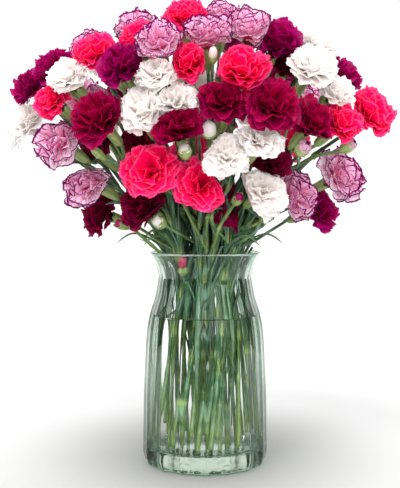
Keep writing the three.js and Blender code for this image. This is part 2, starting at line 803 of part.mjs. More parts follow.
// The water fills the vase to its level, with a plain hole for each stem that stands in it.
function waterSolid() {
  const side = innerSide();
  const level = side.findIndex(([, height]) => height > WATER_LEVEL);
  const [below, above] = [side[level - 1], side[level]];
  const share = (WATER_LEVEL - below[1]) / (above[1] - below[1]);
  const top = [THREE.MathUtils.lerp(below[0], above[0], share), WATER_LEVEL];
  const wall = [
    [side[0][0] - 5, FLOOR_HEIGHT + GAP],
    [side[0][0], FLOOR_HEIGHT + 6],
    ...side.slice(0, level),
    top,
  ];
  const body = solidOf(skin(wall.map(([radius, height]) => plainRing(radius - GAP, height))));
  const holes = stems.map(({ foot, neck }) => {
    const lean = neck.clone().sub(foot).normalize();
    const low = foot.clone().addScaledVector(lean, -3);
    return solidOf(skin(tubeRings([low, neck], [HOLE_RADIUS, HOLE_RADIUS], [4, 4])));
  });
  const slots = BUNCHES.flatMap((bunch) =>
    bunch.leaves.filter(([, , shape]) => shape === "sunk").map((leaf) => leafSolid(bunch, leaf, GAP)),
  );
  return wholeOf(body.subtract(union([...holes, ...slots])));
}

const water = new THREE.MeshStandardMaterial({
  color: 0xe4f0ea,
  roughness: 0.02,
  transparent: true,
  opacity: 0.3,
});
addMesh("water", geometryOf(waterSolid()), water);

export default carnations;
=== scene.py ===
"""Spray carnations in a ribbed glass vase of water. Lengths are in millimetres until a mesh is made."""

import math
from types import SimpleNamespace

import bpy
import numpy as np
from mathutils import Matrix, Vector
from numpy.linalg import norm


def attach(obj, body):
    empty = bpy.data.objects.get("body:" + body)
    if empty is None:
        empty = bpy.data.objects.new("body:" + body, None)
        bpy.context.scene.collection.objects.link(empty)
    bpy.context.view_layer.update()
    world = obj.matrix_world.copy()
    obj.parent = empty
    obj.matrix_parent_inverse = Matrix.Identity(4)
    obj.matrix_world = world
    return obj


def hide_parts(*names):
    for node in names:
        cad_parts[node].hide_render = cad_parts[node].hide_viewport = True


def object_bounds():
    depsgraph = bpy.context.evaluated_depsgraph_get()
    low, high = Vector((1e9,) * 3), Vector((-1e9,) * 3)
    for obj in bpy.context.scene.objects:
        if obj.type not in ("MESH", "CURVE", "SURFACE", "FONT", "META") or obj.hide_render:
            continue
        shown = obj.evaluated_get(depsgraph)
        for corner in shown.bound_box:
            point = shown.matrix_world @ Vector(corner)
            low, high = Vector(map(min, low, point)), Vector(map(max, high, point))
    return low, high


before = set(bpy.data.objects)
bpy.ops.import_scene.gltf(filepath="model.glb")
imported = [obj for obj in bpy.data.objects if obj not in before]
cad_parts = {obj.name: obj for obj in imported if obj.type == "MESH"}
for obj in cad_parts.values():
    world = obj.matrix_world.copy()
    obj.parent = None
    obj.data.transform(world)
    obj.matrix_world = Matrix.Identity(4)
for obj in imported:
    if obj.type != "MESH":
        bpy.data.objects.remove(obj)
cad_box = [list(corner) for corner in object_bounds()]

MM = 0.001
UP = np.array([0.0, 0.0, 1.0])
ASKEW = [0.3, 0.2, 0.9]  # a direction that no stem or flower follows

# Where the picture is taken from. Places in it are in pixels of a 400 by 488 frame, and the whole
# picture is shown a little lower than they say.
EYE = np.array([-4.75, -950.0, 256.5])
EYE_FOCAL = 1000.0
SIGHT_DIP = math.radians(2.98)
PICTURE_MIDDLE = (200.0, 244.0)
PICTURE_TALL = 488
PICTURE_DROP = 2.0
SENSOR = 36.0

# The vase and its water.
VASE_HEIGHT = 202.0
RIM_RADIUS = 52.0
NECK_RADIUS = 44.0
NECK_HEIGHT = 178.0
SHOULDER_RADIUS = 54.5
BODY_RADIUS = 59.5
FOOT_RADIUS = 53.0
GLASS = 3.4
FLOOR_HEIGHT = 15.0
FLUTES = 16
FLUTE_DEPTH = 2.2
WATER_LEVEL = 141.0
GAP = 0.35

# A carnation. A head's lift and depth are shares of its radius.
STEM_RADIUS = 2.3
STALK_RADIUS = 1.5
CALYX_LENGTH = 21.0
CALYX_RADIUS = 5.0
HEAD_LIFT = 0.6
HEAD_DEPTH = 0.72
HEAD_FULLNESS = 1.15
BUD_LENGTH = 17.0

# The dome of flower heads, and the points that the heads on its front and its back look away from.
DOME_MIDDLE = 335.0
DOME_HALF_WIDTH = 178.0
DOME_HALF_HEIGHT = 100.0
DOME_CHIN = -0.85
DOME_FRONT = 105.0
DOME_REAR = 60.0
FRONT_HUB = np.array([0.0, 45.0, 205.0])
REAR_HUB = np.array([0.0, -20.0, 205.0])

# Where each bunch stands in the vase's neck.
NECKS = dict(
    left=(-28, 5), upper_left=(-20, 20), lower_left=(-21, -19), centre_left=(0, 0), top=(0, 28),
    centre=(0, -28), upper_right=(20, 20), centre_right=(20, -20), right=(28, 0),
)
# The front heads of each bunch, as (node, across, down, radius, back).
HEADS = dict(
    left=(
        ("white_01", 24, 121, 24, 0), ("purple_01", 31, 85, 19, 0), ("purple_01", 53, 66, 20, 0),
        ("red_01", 53, 98, 18, -6), ("white_02", 68, 74, 21, -8), ("picotee_01", 57, 137, 25, -6),
    ),
    upper_left=(
        ("picotee_02", 136, 25, 21, 34), ("red_02", 141, 38, 21, 8), ("red_03", 92, 51, 20, -4),
        ("picotee_03", 88, 44, 18, 34), ("purple_02", 122, 62, 22, -6), ("picotee_04", 99, 92, 22, 26),
    ),
    lower_left=(
        ("purple_03", 98, 115, 26, -6), ("purple_16", 94, 146, 19, 34), ("picotee_05", 88, 179, 25, 0),
        ("purple_04", 99, 211, 21, 0), ("purple_05", 144, 205, 24, 0),
    ),
    centre_left=(
        ("white_03", 142, 108, 24, -2), ("white_03", 175, 97, 21, 0), ("red_04", 150, 166, 26, -4),
        ("purple_06", 136, 141, 19, 34),
    ),
    top=(
        ("red_05", 186, 14, 20, 14), ("picotee_06", 222, 14, 18, 20), ("picotee_10", 209, 31, 22, -6),
        ("picotee_11", 251, 25, 22, -4), ("picotee_07", 159, 39, 22, -14), ("white_04", 157, 69, 22, -4),
        ("red_06", 188, 58, 24, 0),
    ),
    centre=(
        ("purple_07", 178, 122, 25, -6), ("red_07", 202, 181, 25, 0), ("white_05", 227, 151, 22, -2),
        ("purple_08", 236, 204, 22, 16),
    ),
    upper_right=(
        ("purple_09", 277, 38, 24, 4), ("purple_17", 287, 61, 18, 34), ("red_08", 241, 66, 26, -4),
        ("white_10", 315, 41, 20, 16), ("white_06", 313, 64, 23, -4),
    ),
    centre_right=(
        ("purple_10", 226, 98, 23, -2), ("purple_11", 271, 102, 27, -8), ("white_07", 261, 136, 21, -2),
        ("purple_12", 272, 158, 19, 24), ("white_08", 263, 187, 25, -4), ("picotee_08", 296, 193, 24, 0),
    ),
    right=(
        ("purple_13", 343, 73, 18, 26), ("white_09", 337, 90, 17, 2), ("red_09", 371, 110, 23, 0),
        ("red_10", 342, 119, 21, -4), ("purple_14", 313, 119, 22, -4), ("picotee_09", 341, 173, 25, 0),
        ("purple_15", 321, 208, 20, 6),
    ),
)
# Its heads on the back, as (colour, across, down, radius, back).
REAR = dict(
    left=(("picotee", 76, 92, 21, 0), ("white", 100, 130, 21, 0)),
    upper_left=(
        ("white", 108, 58, 20, -14), ("purple", 124, 98, 22, 0), ("red", 148, 72, 22, -8),
        ("picotee", 144, 138, 22, 0),
    ),
    top=(
        ("red", 182, 42, 20, -18), ("picotee", 170, 106, 22, 0), ("white", 196, 78, 22, -4),
        ("red", 188, 146, 22, 0),
    ),
    upper_right=(
        ("purple", 234, 42, 21, -18), ("red", 236, 84, 22, 0), ("purple", 216, 116, 22, 0),
        ("white", 262, 118, 22, 0), ("purple", 276, 74, 22, -10), ("white", 234, 150, 22, 0),
    ),
    right=(("picotee", 306, 100, 21, 0), ("red", 292, 138, 21, 0)),
)
# Its buds, as (colour, across, down, radius, back, how far it is open).
BUDS = dict(
    lower_left=(
        ("picotee", 99, 152, 4, 0, 0), ("picotee", 58, 156, 5, -2, 0.12), ("purple", 124, 223, 5, 0, 0.08),
    ),
    centre_left=(("white", 160, 221, 6, 0, 0.15),),
    top=(("white", 213, 53, 4, -6, 0.6),),
    centre=(
        ("white", 209, 127, 7, 4, 0.85), ("white", 185, 150, 6, -6, 0.12), ("purple", 237, 198, 5, -8, 0.1),
    ),
    centre_right=(("picotee", 303, 146, 7, -4, 0.45), ("white", 266, 216, 5, -4, 0.1)),
    right=(("picotee", 348, 144, 6, -6, 0.3),),
)
# Its leaves, as (height of the foot over the neck, compass angle in degrees, shape, size).
LEAVES = dict(
    left=((23, 182, "arched", 1), (-4, 176, "sunk", 0.9)),
    upper_left=((25, 135, "arched", 1),),
    lower_left=((25, 228, "arched", 0.9),),
    top=((25, 84, "arched", 1),),
    centre=((-3, 262, "sunk", 1.1), (27, 275, "arched", 0.8)),
    centre_right=((25, 318, "arched", 0.9), (-5, 300, "sunk", 0.8)),
    right=((25, 352, "arched", 0.9), (-6, 20, "sunk", 0.9)),
)


def unit(vector):
    return vector / norm(vector, axis=-1, keepdims=True)


def turned(vector, degrees):
    """The vector, turned about the vase's axis."""
    c, s = math.cos(math.radians(degrees)), math.sin(math.radians(degrees))
    return np.array([c * vector[0] - s * vector[1], s * vector[0] + c * vector[1], vector[2]])


def fade(value, low, high):
    """0 below low, 1 above high, and smooth between."""
    t = np.clip((value - low) / (high - low), 0, 1)
    return t * t * (3 - 2 * t)


def pair(one, other):
    """Two values side by side, for each point of a grid."""
    return np.stack(np.broadcast_arrays(one, other), axis=-1)


def bezier(t, hold):
    """Where the cubic curve that four points hold is at t."""
    weights = ((1 - t) ** 3, 3 * (1 - t) ** 2 * t, 3 * (1 - t) * t * t, t**3)
    return sum(weight * point for weight, point in zip(weights, hold))


def bezier_slope(t, hold):
    weights = (3 * (1 - t) ** 2, 6 * (1 - t) * t, 3 * t * t)
    return sum(weight * (b - a) for weight, a, b in zip(weights, hold, hold[1:]))


def new_object(name, data):
    made = bpy.data.objects.new(name, data)
    bpy.context.scene.collection.objects.link(made)
    return made


# ---- Camera ----
def set_camera():
    data = bpy.data.cameras.new("camera")
    data.sensor_width = SENSOR
    data.lens = SENSOR * EYE_FOCAL / PICTURE_TALL
    data.clip_start = 0.01
    data.shift_y = PICTURE_DROP / PICTURE_TALL
    camera = new_object("camera", data)
    camera.location = Vector(EYE * MM)
    camera.rotation_euler = (math.pi / 2 - SIGHT_DIP, 0, 0)
    bpy.context.scene.camera = camera


# ---- Where everything stands ----
def seen_at(across, down, depth):
    """The point at a depth behind the dome's middle that is seen at a place in the picture."""
    right = across - PICTURE_MIDDLE[0]
    up = PICTURE_MIDDLE[1] - down
    dip_cos, dip_sin = math.cos(SIGHT_DIP), math.sin(SIGHT_DIP)
    ray = np.array([right, EYE_FOCAL * dip_cos + up * dip_sin, up * dip_cos - EYE_FOCAL * dip_sin])
    return EYE + ray * (depth - EYE[1]) / ray[1]


def seen_on_dome(across, down, reach, back):
    point = seen_at(across, down, 0)
    for _ in range(6):
        wide = point[0] / DOME_HALF_WIDTH
        high = max(DOME_CHIN, (point[2] - DOME_MIDDLE) / DOME_HALF_HEIGHT)
        bulge = math.sqrt(max(0, 1 - wide * wide - high * high))
        point = seen_at(across, down, reach * bulge + back)
    return point


GREEN_SPOTS = 5


class Flower:
    """A head or a bud, with the seat that its petals or its green case rise from."""

    flare = 0

    def __init__(self, bunch, kind, row):
        bud = kind == "bud"
        self.bunch, self.kind, self.node = bunch, kind, row[0]
        self.colour = row[0].split("_")[0]
        self.open = row[5] if bud else 1
        self.radius = row[3] * (1 if bud else HEAD_FULLNESS)
        self.middle = seen_on_dome(row[1], row[2], DOME_REAR if kind == "rear" else -DOME_FRONT, row[4])
        self.look = unit(self.middle - (REAR_HUB if kind == "rear" else FRONT_HUB))
        self.seat = self.middle - self.look * (BUD_LENGTH / 2 if bud else HEAD_LIFT * self.radius)
        self.green = BUD_LENGTH if bud else -CALYX_LENGTH

    def green_spots(self):
        """Points along the axis of its calyx or bud."""
        return [self.seat + self.look * self.green * k / (GREEN_SPOTS - 1) for k in range(GREEN_SPOTS)]


flowers = [
    Flower(bunch, kind, row)
    for bunch in NECKS
    for kind, table in (("head", HEADS), ("rear", REAR), ("bud", BUDS))
    for row in table.get(bunch, ())
]
heads = [flower for flower in flowers if flower.kind != "bud"]

# A bunch's stems stand a step apart in the vase's neck, at its foot and where they fork.
NECK_STEP = 3.9
FOOT_STEP = 7
FORK_STEP = 7.5
SPIRAL_TURN = -40
SPIRAL_SPREAD = 1.24
FOOT_STAGGER = 0.2
FOOT_RISE = 7
FORK_RISE = 46
FORK_STAGGER = 4
FORK_LEAN = 0.17
# A stalk leaves its stem some steps below the fork, and is a chain of straight segments.
JOINT_STEP = 0.21
STALK_SEGMENTS = 4


def main_stems(bunch):
    """One stem for each colour in a bunch, side by side."""
    own = [flower for flower in flowers if flower.bunch == bunch]
    centre = np.array([*NECKS[bunch], NECK_HEIGHT], float)
    goal = np.mean([flower.seat for flower in own], axis=0)
    side = turned(unit((goal - centre) * (1, 1, 0)), 90)
    colours = list(dict.fromkeys(flower.colour for flower in own))
    groups = [[flower for flower in own if flower.colour == colour] for colour in colours]
    groups.sort(key=lambda group: float(np.mean([flower.seat for flower in group], axis=0) @ side))
    stems = []
    for k, group in enumerate(groups):
        place = k - (len(groups) - 1) / 2
        spread = SPIRAL_SPREAD * (1 + FOOT_STAGGER * (1 if k % 2 else -1))
        foot = turned(centre + side * FOOT_STEP * place, SPIRAL_TURN) * spread
        foot[2] = FLOOR_HEIGHT + 2 * GAP + FOOT_RISE * k
        fork = centre + (goal - centre) * FORK_LEAN + side * FORK_STEP * place
        fork[2] = NECK_HEIGHT + FORK_RISE + FORK_STAGGER * (k % 2)
        neck = centre + side * NECK_STEP * place
        stems.append(SimpleNamespace(bunch=bunch, own=group, foot=foot, neck=neck, fork=fork))
    return stems


class Stalk:
    """One flower's stalk, from its joint on the stem to its calyx or bud."""

    def __init__(self, stem, flower, k):
        self.stem, self.flower, self.ends = stem, flower, k == 0
        joint = stem.fork + (stem.neck - stem.fork) * k * JOINT_STEP
        bottom = flower.seat + flower.look * (0 if flower.kind == "bud" else -CALYX_LENGTH)
        span = norm(bottom - joint)
        rising = unit(stem.fork - stem.neck)
        hold = [joint, joint + rising * span * 0.3, bottom - flower.look * span * 0.35, bottom]
        self.chain = bezier(np.linspace(0, 1, STALK_SEGMENTS + 1)[:, None], hold)


stems = [stem for bunch in NECKS for stem in main_stems(bunch)]
stalks = [Stalk(stem, flower, k) for stem in stems for k, flower in enumerate(stem.own)]

# How the stalks are bent clear: spots on each segment are pushed until they have their room from the
# axis of each other stalk, calyx and stem and from a head's side, and each pass straightens a little.
EASING_PASSES = 160
SPOTS = 5
STEM_SPOTS = (0.1, 0.25, 0.4, 0.55, 0.7, 0.85, 1)
STALK_ROOM = 6.0
CALYX_ROOM = 9.0
STEM_ROOM = 5.5
HEAD_ROOM = 3
EASING = 0.3


def push_apart(points, others, room, allowed):
    """What pushes each point from the others that are nearer than the room."""
    square = (points**2).sum(1)[:, None] + (others**2).sum(1) - 2 * points @ others.T
    a, b = np.nonzero((square < room * room) & allowed)
    away = points[a] - others[b]
    near = norm(away, axis=1)[:, None]
    push = np.zeros_like(points)
    np.add.at(push, a, away / (near + 1e-6) * 0.5 * (room - near))
    return push


def ease_stalks():
    """Bends the stalks clear of each other, of stems, calyxes and heads."""
    count = len(stalks)
    chains = np.array([stalk.chain for stalk in stalks])
    segment = np.tile(np.repeat(np.arange(STALK_SEGMENTS), SPOTS), count)
    share = np.tile(np.arange(SPOTS) / SPOTS, STALK_SEGMENTS * count)[:, None]
    owner = np.repeat(np.arange(count), STALK_SEGMENTS * SPOTS)
    stem_of = np.repeat(np.arange(len(stems)), [len(stem.own) for stem in stems])[owner]
    flower_of = np.array([flowers.index(stalk.flower) for stalk in stalks])[owner]
    apart = owner[:, None] != owner
    apart &= ~((stem_of[:, None] == stem_of) & (segment[:, None] == 0))
    on_calyxes = np.array([spot for flower in flowers for spot in flower.green_spots()])
    on_stems = np.array(
        [stem.neck + (stem.fork - stem.neck) * part for stem in stems for part in STEM_SPOTS]
    )
    fixed = (
        (on_calyxes, CALYX_ROOM, flower_of[:, None] != np.repeat(np.arange(len(flowers)), GREEN_SPOTS)),
        (on_stems, STEM_ROOM, stem_of[:, None] != np.repeat(np.arange(len(stems)), len(STEM_SPOTS))),
    )
    middles = np.array([head.middle for head in heads])
    looks = np.array([head.look for head in heads])
    radii = np.array([head.radius for head in heads])
    other_head = flower_of[:, None] != np.array([flowers.index(head) for head in heads])
    for _ in range(EASING_PASSES):
        low = chains[owner, segment]
        points = low + (chains[owner, segment + 1] - low) * share
        push = push_apart(points, points, STALK_ROOM, apart)
        for spots, room, allowed in fixed:
            push += push_apart(points, spots, room, allowed)
        away = points[:, None] - middles
        up = (away * looks).sum(2)
        out = away - looks * up[..., None]
        far = norm(out, axis=2)
        depth = np.hypot(up / (radii * HEAD_DEPTH), far / (radii + HEAD_ROOM))
        force = np.where((depth < 1) & other_head, 0.5 * (1 - depth) * radii / np.maximum(far, 1e-9), 0)
        push += (out * force[..., None]).sum(1)
        moves = np.zeros_like(chains)
        np.add.at(moves, (owner, segment), push * (1 - share))
        np.add.at(moves, (owner, segment + 1), push * share)
        chains[:, 1:-1] += moves[:, 1:-1]
        for i in range(1, STALK_SEGMENTS):
            chains[:, i] += (0.5 * (chains[:, i - 1] + chains[:, i + 1]) - chains[:, i]) * EASING
    for stalk, chain in zip(stalks, chains):
        stalk.chain = chain


ease_stalks()

# Two heads press each other within this share of their radii. Their petals reach a little past the
# plane between them, further in one node, and no further past the CAD's box than its room. What is
# nearer to a head's seat than the start isn't pressed.
HEAD_REACH = 1.12
INTERLEAVED = 2.8
SAME_NODE = 2
BOX_ROOM = 2.5
SOFT_START = 6.5


def press_planes(head):
    """The planes that hold a head's petals in, as (direction, point)."""
    planes = []
    for other in heads:
        if other is head:
            continue
        across = other.middle - head.middle
        apart = norm(across)
        if apart > HEAD_REACH * (head.radius + other.radius):
            continue
        across = across / apart
        share = apart * head.radius / (head.radius + other.radius)
        if other.node == head.node and head.kind == "head":
            share += SAME_NODE
        planes.append((across, head.middle + across * (share + INTERLEAVED)))
    for flower in flowers:
        if flower is head:
            continue
        for spot in flower.green_spots():
            away = spot - head.middle
            up = away @ head.look
            out = math.sqrt(max(0, away @ away - up * up))
            if out < head.radius and -0.5 * head.radius < up < HEAD_DEPTH * head.radius:
                planes.append((unit(away), spot - unit(away) * (CALYX_RADIUS + GAP)))
    for axis in np.eye(3):
        planes.append((-axis, np.array(cad_box[0]) / MM - BOX_ROOM))
        planes.append((axis, np.array(cad_box[1]) / MM + BOX_ROOM))
    return planes


def squeezed(points, seat, planes):
    """Presses points back behind the planes. What is near the seat keeps its shape."""
    for _ in range(2):
        for across, limit in planes:
            far = (points - seat) @ across
            room = (limit - seat) @ across
            reach = far.max()
            start = min(SOFT_START, room - 0.5)
            box_side = abs(across).max() == 1
            if reach <= room or start <= 0 or (box_side and room < 0):
                continue
            pressed = start + (far - start) * (room - start) / (reach - start)
            points = points + across * np.where(far > start, pressed - far, 0)[:, None]
    return points


# ---- Meshes ----
class Shell:
    """Gathers grids of points into one mesh, each with its finish, grain and marks."""

    def __init__(self):
        self.points, self.faces, self.finish, self.grain, self.marks, self.count = [], [], [], [], [], 0

    def grid(self, points, grain, marks, finish=0, closed=True):
        """points is rows by columns by 3, grain gives (across, along), and marks (lot, order)."""
        rows, columns = points.shape[:2]
        index = self.count + np.arange(rows * columns).reshape(rows, columns)
        after = np.roll(index, -1, axis=1) if closed else index[:, 1:]
        start = index if closed else index[:, :-1]
        quads = np.stack([start[:-1], after[:-1], after[1:], start[1:]], axis=-1).reshape(-1, 4)
        self.points.append(points.reshape(-1, 3))
        for kept, values in ((self.grain, grain), (self.marks, marks)):
            kept.append(np.broadcast_to(values, (rows, columns, 2)).reshape(-1, 2))
        self.faces.append(quads)
        self.finish.append(np.full(len(quads), finish))
        self.count += rows * columns

    def piece(self, name, materials, slot, nodes=()):
        faces = np.concatenate(self.faces)
        mesh = bpy.data.meshes.new(name)
        mesh.from_pydata((np.concatenate(self.points) * MM).tolist(), [], faces.tolist())
        for label, values in (("grain", self.grain), ("marks", self.marks)):
            layer = mesh.uv_layers.new(name=label)
            layer.data.foreach_set("uv", np.concatenate(values)[faces.ravel()].astype(np.float32).ravel())
        mesh.polygons.foreach_set("use_smooth", np.ones(len(faces), bool))
        mesh.polygons.foreach_set("material_index", np.concatenate(self.finish).astype(np.int32))
        for material in materials:
            mesh.materials.append(material)
        piece = new_object(name, mesh)
        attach(piece, "root")
        if nodes:
            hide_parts(*nodes)


def smooth_path(points, step):
    """A rounded path through the points, with a point about every step, and how far along each is."""
    knots = np.array(points)
    padded = np.vstack([2 * knots[0] - knots[1], knots, 2 * knots[-1] - knots[-2]])
    path = []
    for i in range(len(knots) - 1):
        a, b, c, d = padded[i : i + 4]
        spans = [math.sqrt(norm(q - p)) + 1e-9 for p, q in ((a, b), (b, c), (c, d))]
        m1 = ((b - a) / spans[0] - (c - a) / (spans[0] + spans[1]) + (c - b) / spans[1]) * spans[1]
        m2 = ((c - b) / spans[1] - (d - b) / (spans[1] + spans[2]) + (d - c) / spans[2]) * spans[1]
        for t in np.linspace(0, 1, max(2, round(norm(c - b) / step)), endpoint=False):
            weights = (2 * t**3 - 3 * t * t + 1, t**3 - 2 * t * t + t, 3 * t * t - 2 * t**3, t**3 - t * t)
            path.append(sum(weight * part for weight, part in zip(weights, (b, m1, c, m2))))
    path = np.array([*path, knots[-1]])
    along = np.concatenate([[0], np.cumsum(norm(np.diff(path, axis=0), axis=1))])
    return path, along


def ringed(middles, look, across, radii, turn):
    """Points round middles, square to look, each at its radius and turned from across."""
    beside = np.cross(look, across)
    return middles + across * (radii * np.cos(turn))[..., None] + beside * (radii * np.sin(turn))[..., None]


def tube(path, radii, sides):
    """Rings of points round a path, without twist, with a radius for each of its points."""
    tangents = unit(np.gradient(path, axis=0))
    across = np.array([1, 0.31, 0.17])
    acrosses = []
    for tangent in tangents:
        across = unit(across - tangent * (across @ tangent))
        acrosses.append(across)
    turn = 2 * np.pi * np.arange(sides) / sides
    return ringed(path[:, None], tangents[:, None], np.array(acrosses)[:, None], radii[:, None], turn)


# ---- Petals ----
GOLDEN_TURN = math.pi * (3 - math.sqrt(5))
PETAL_ROWS = np.array([0, 0.3, 0.5, 0.68, 0.85, 1])
PETAL_COLUMNS = 27
PETAL_REACH = 0.91
OUTERMOST = math.radians(104)
# For each colour: petals in a head, how finely they are ruffled, and how deep.
HABITS = dict(white=(38, 1.0, 0.95), red=(34, 0.85, 1.1), purple=(30, 0.7, 1.2), picotee=(26, 0.6, 1.25))
REAR_SHARE = 0.7


def add_petals(shell, head, chance):
    """The ruffled petals of one head, spread over a low dome, in the head's place."""
    count, fine, deep = HABITS[head.colour]
    if head.kind == "rear":
        count = round(count * REAR_SHARE)
    radius = head.radius * PETAL_REACH
    order = ((np.arange(count) + 0.5) / count)[:, None, None]

    def uneven():
        return chance.uniform(-1, 1, (count, 1, 1))

    # The curve of each petal from its root to its tip, outward and upward.
    tilt = np.arccos(1 - order * (1 - math.cos(OUTERMOST)))
    size = 1 + 0.09 * uneven()
    tip_out = radius * np.sin(tilt) * size
    tip_up = radius * (HEAD_LIFT + HEAD_DEPTH * np.cos(tilt) * size)
    root_out = radius * (0.02 + 0.08 * order)
    length = np.hypot(tip_out - root_out, tip_up)
    lean = tilt * 0.92 + 0.3 * uneven()
    outs = (root_out, root_out + 0.06 * length, tip_out - 0.36 * length * np.sin(lean), tip_out)
    ups = (0, 0.42 * length, tip_up - 0.36 * length * np.cos(lean), tip_up)

    # Its round, toothed end, and its waves: how high, how close to the rim, and how many.
    side = np.linspace(-1, 1, PETAL_COLUMNS)
    row = PETAL_ROWS[:, None]
    phase = 2 * np.pi * chance.uniform(0, 1, (4, count, 1, 1))
    teeth = 0.014 * fine * np.where(np.arange(PETAL_COLUMNS) % 2, 1, -1) * row**6
    t = row * (1 - 0.17 * np.abs(side) ** 3 + 0.05 * np.sin(4.2 * side + phase[0]) + teeth)
    waves = ((0.13, 2, 3.1 + 1.2 * uneven()), (0.085, 3, 7.4), (0.032 * fine, 5, 14.5))
    ripple = sum(
        high * row**rim * np.sin(many * side + start) for (high, rim, many), start in zip(waves, phase[1:])
    )
    off = radius * deep * (1.05 - 0.3 * order) * ripple + radius * 0.08 * np.maximum(0, row - 0.6) * order

    # Its width, wrapped round the head, with the waves at right angles to the curve.
    broad = math.sqrt(36 / count) * (0.4 + 0.36 * order) * (0.05 + 0.95 * row**1.25)
    half = radius * broad * (1 + 0.12 * uneven())
    out, up = bezier(t, outs), bezier(t, ups)
    run, rise = bezier_slope(t, outs), bezier_slope(t, ups)
    steep = np.hypot(run, rise)
    bend = np.maximum(out, 0.55 * radius)
    swing = side * half / bend
    out = out - bend * (1 - np.cos(swing)) + off * (rise / steep)
    along = bend * np.sin(swing)
    up = up + off * (-run / steep) + 0.22 * uneven() * side * half * row
    turn = np.arange(count)[:, None, None] * GOLDEN_TURN + 0.3 * uneven()
    x = out * np.cos(turn) - along * np.sin(turn)
    y = out * np.sin(turn) + along * np.cos(turn)
    towards = unit(UP - head.look * (UP @ head.look))
    base = head.seat + head.look * GAP
    axes = np.array([towards, np.cross(head.look, towards), head.look])
    points = base + np.stack([x, y, up], axis=-1) @ axes
    points = squeezed(points.reshape(-1, 3), base, press_planes(head)).reshape(points.shape)
    for petal, lot, place in zip(points, chance.uniform(0, 1, count), order.ravel()):
        shell.grid(petal, pair((side + 1) / 2, row), (lot, place), closed=False)


# ---- Green parts ----
STEM, CALYX, LEAF, PETAL = range(4)
GRAIN_LENGTH = 40
STEM_SIDES = 10
STALK_SIDES = 8
STEM_TAPER = 0.23
FORK_ROOM = 4
# Joints swell, and have rings of points at these steps from their middle.
JOINT_SPACING = 36.0
JOINT_SWELL = 0.28
JOINT_SPREAD = 2.6
JOINT_RINGS = (-2.6, -0.9, 0.9, 2.6)
END_ROOM = 12
CROWD_BELOW = 60


def add_stem(shell, stalk, chance):
    """A stalk, with its main stem below it if it is the one that ends the stem."""
    stem, main = stalk.stem, stalk.ends
    sides = STEM_SIDES if main else STALK_SIDES
    path, along = smooth_path([stem.foot, stem.neck, *stalk.chain] if main else stalk.chain, step=5)
    total = along[-1]
    radii = np.full(len(path), STALK_RADIUS)
    if main:
        fork_at = norm(stem.neck - stem.foot) + norm(stem.fork - stem.neck)
        thick = STEM_RADIUS + STEM_TAPER * (1 - along / fork_at)
        thinner = (STALK_RADIUS - STEM_RADIUS * 0.9) * fade(along, fork_at - FORK_ROOM, fork_at + 10)
        radii = np.maximum(thick + thinner, radii)
    first = END_ROOM + JOINT_SPACING * chance.uniform()
    joints = np.arange(first, total - END_ROOM, JOINT_SPACING)[:, None]
    everywhere = np.unique(np.append(along, np.clip(joints + JOINT_RINGS, 0, total)))
    path = np.stack([np.interp(everywhere, along, path[:, k]) for k in range(3)], axis=1)
    radii, along = np.interp(everywhere, along, radii), everywhere
    swells = np.exp(-(((along - joints) / JOINT_SPREAD) ** 2))
    pale = (swells * chance.uniform(0.05, 1, joints.shape) ** 1.5).max(0, initial=0)
    rings = tube(path, radii * (1 + JOINT_SWELL * swells.max(0, initial=0)), sides)
    if main:
        centre = path[:1, None]
        rings = np.concatenate([centre + (rings[:1] - centre) * 0.05, rings])
        pale = np.concatenate([[1], np.maximum(pale, 0.5 * fade(along, 50, 5))])
    grain_along = np.concatenate([[0], along]) if main else along
    grain = pair(np.arange(sides) / sides, grain_along[:, None] / GRAIN_LENGTH)
    shell.grid(rings, grain, pair(chance.uniform(), pale[:, None]), STEM)
    tangents = unit(np.gradient(path, axis=0))
    turn = 360 * chance.uniform()
    for k in np.searchsorted(along, joints[:, 0]):
        turn += 90
        crowded = main and NECK_HEIGHT - CROWD_BELOW < path[k][2] < VASE_HEIGHT + 25
        for side in (0, 90, 180, 270) if crowded else (0, 180):
            add_joint_leaf(shell, path[k], tangents[k], turn + side, main, chance)


def add_blade(shell, path, across, half, side, keel, along, marks):
    """A leaf along the path, which reaches half to each side and is folded by its keel."""
    face = np.cross(across, unit(np.gradient(path, axis=0)))
    points = path[:, None] + across * (half * side)[..., None] + face[:, None] * keel[..., None]
    shell.grid(points, pair((side + 1) / 2, along / GRAIN_LENGTH), marks, LEAF)


# How long the leaves of a main stem and of a stalk are, and at least in the neck. Every joint above
# one height has leaves, and a small share of those below the other. All keep off the glass.
LONG_LEAF = (42, 88)
SHORT_LEAF = (9, 20)
NECK_LEAF = 50
LEAFY_ABOVE = 125
BARE_BELOW = 70
LOW_LEAVES = 0.05
WALL_ROOM = 2.2
JOINT_LEAF_SHARES = np.array([-0.04, 0, 0.07, 0.16, 0.28, 0.42, 0.58, 0.74, 0.88, 1])
JOINT_LEAF_WIDTHS = ([-0.04, 0.05, 0.3, 0.6, 1], [0.9, 1.1, 1, 0.72, 0.04])


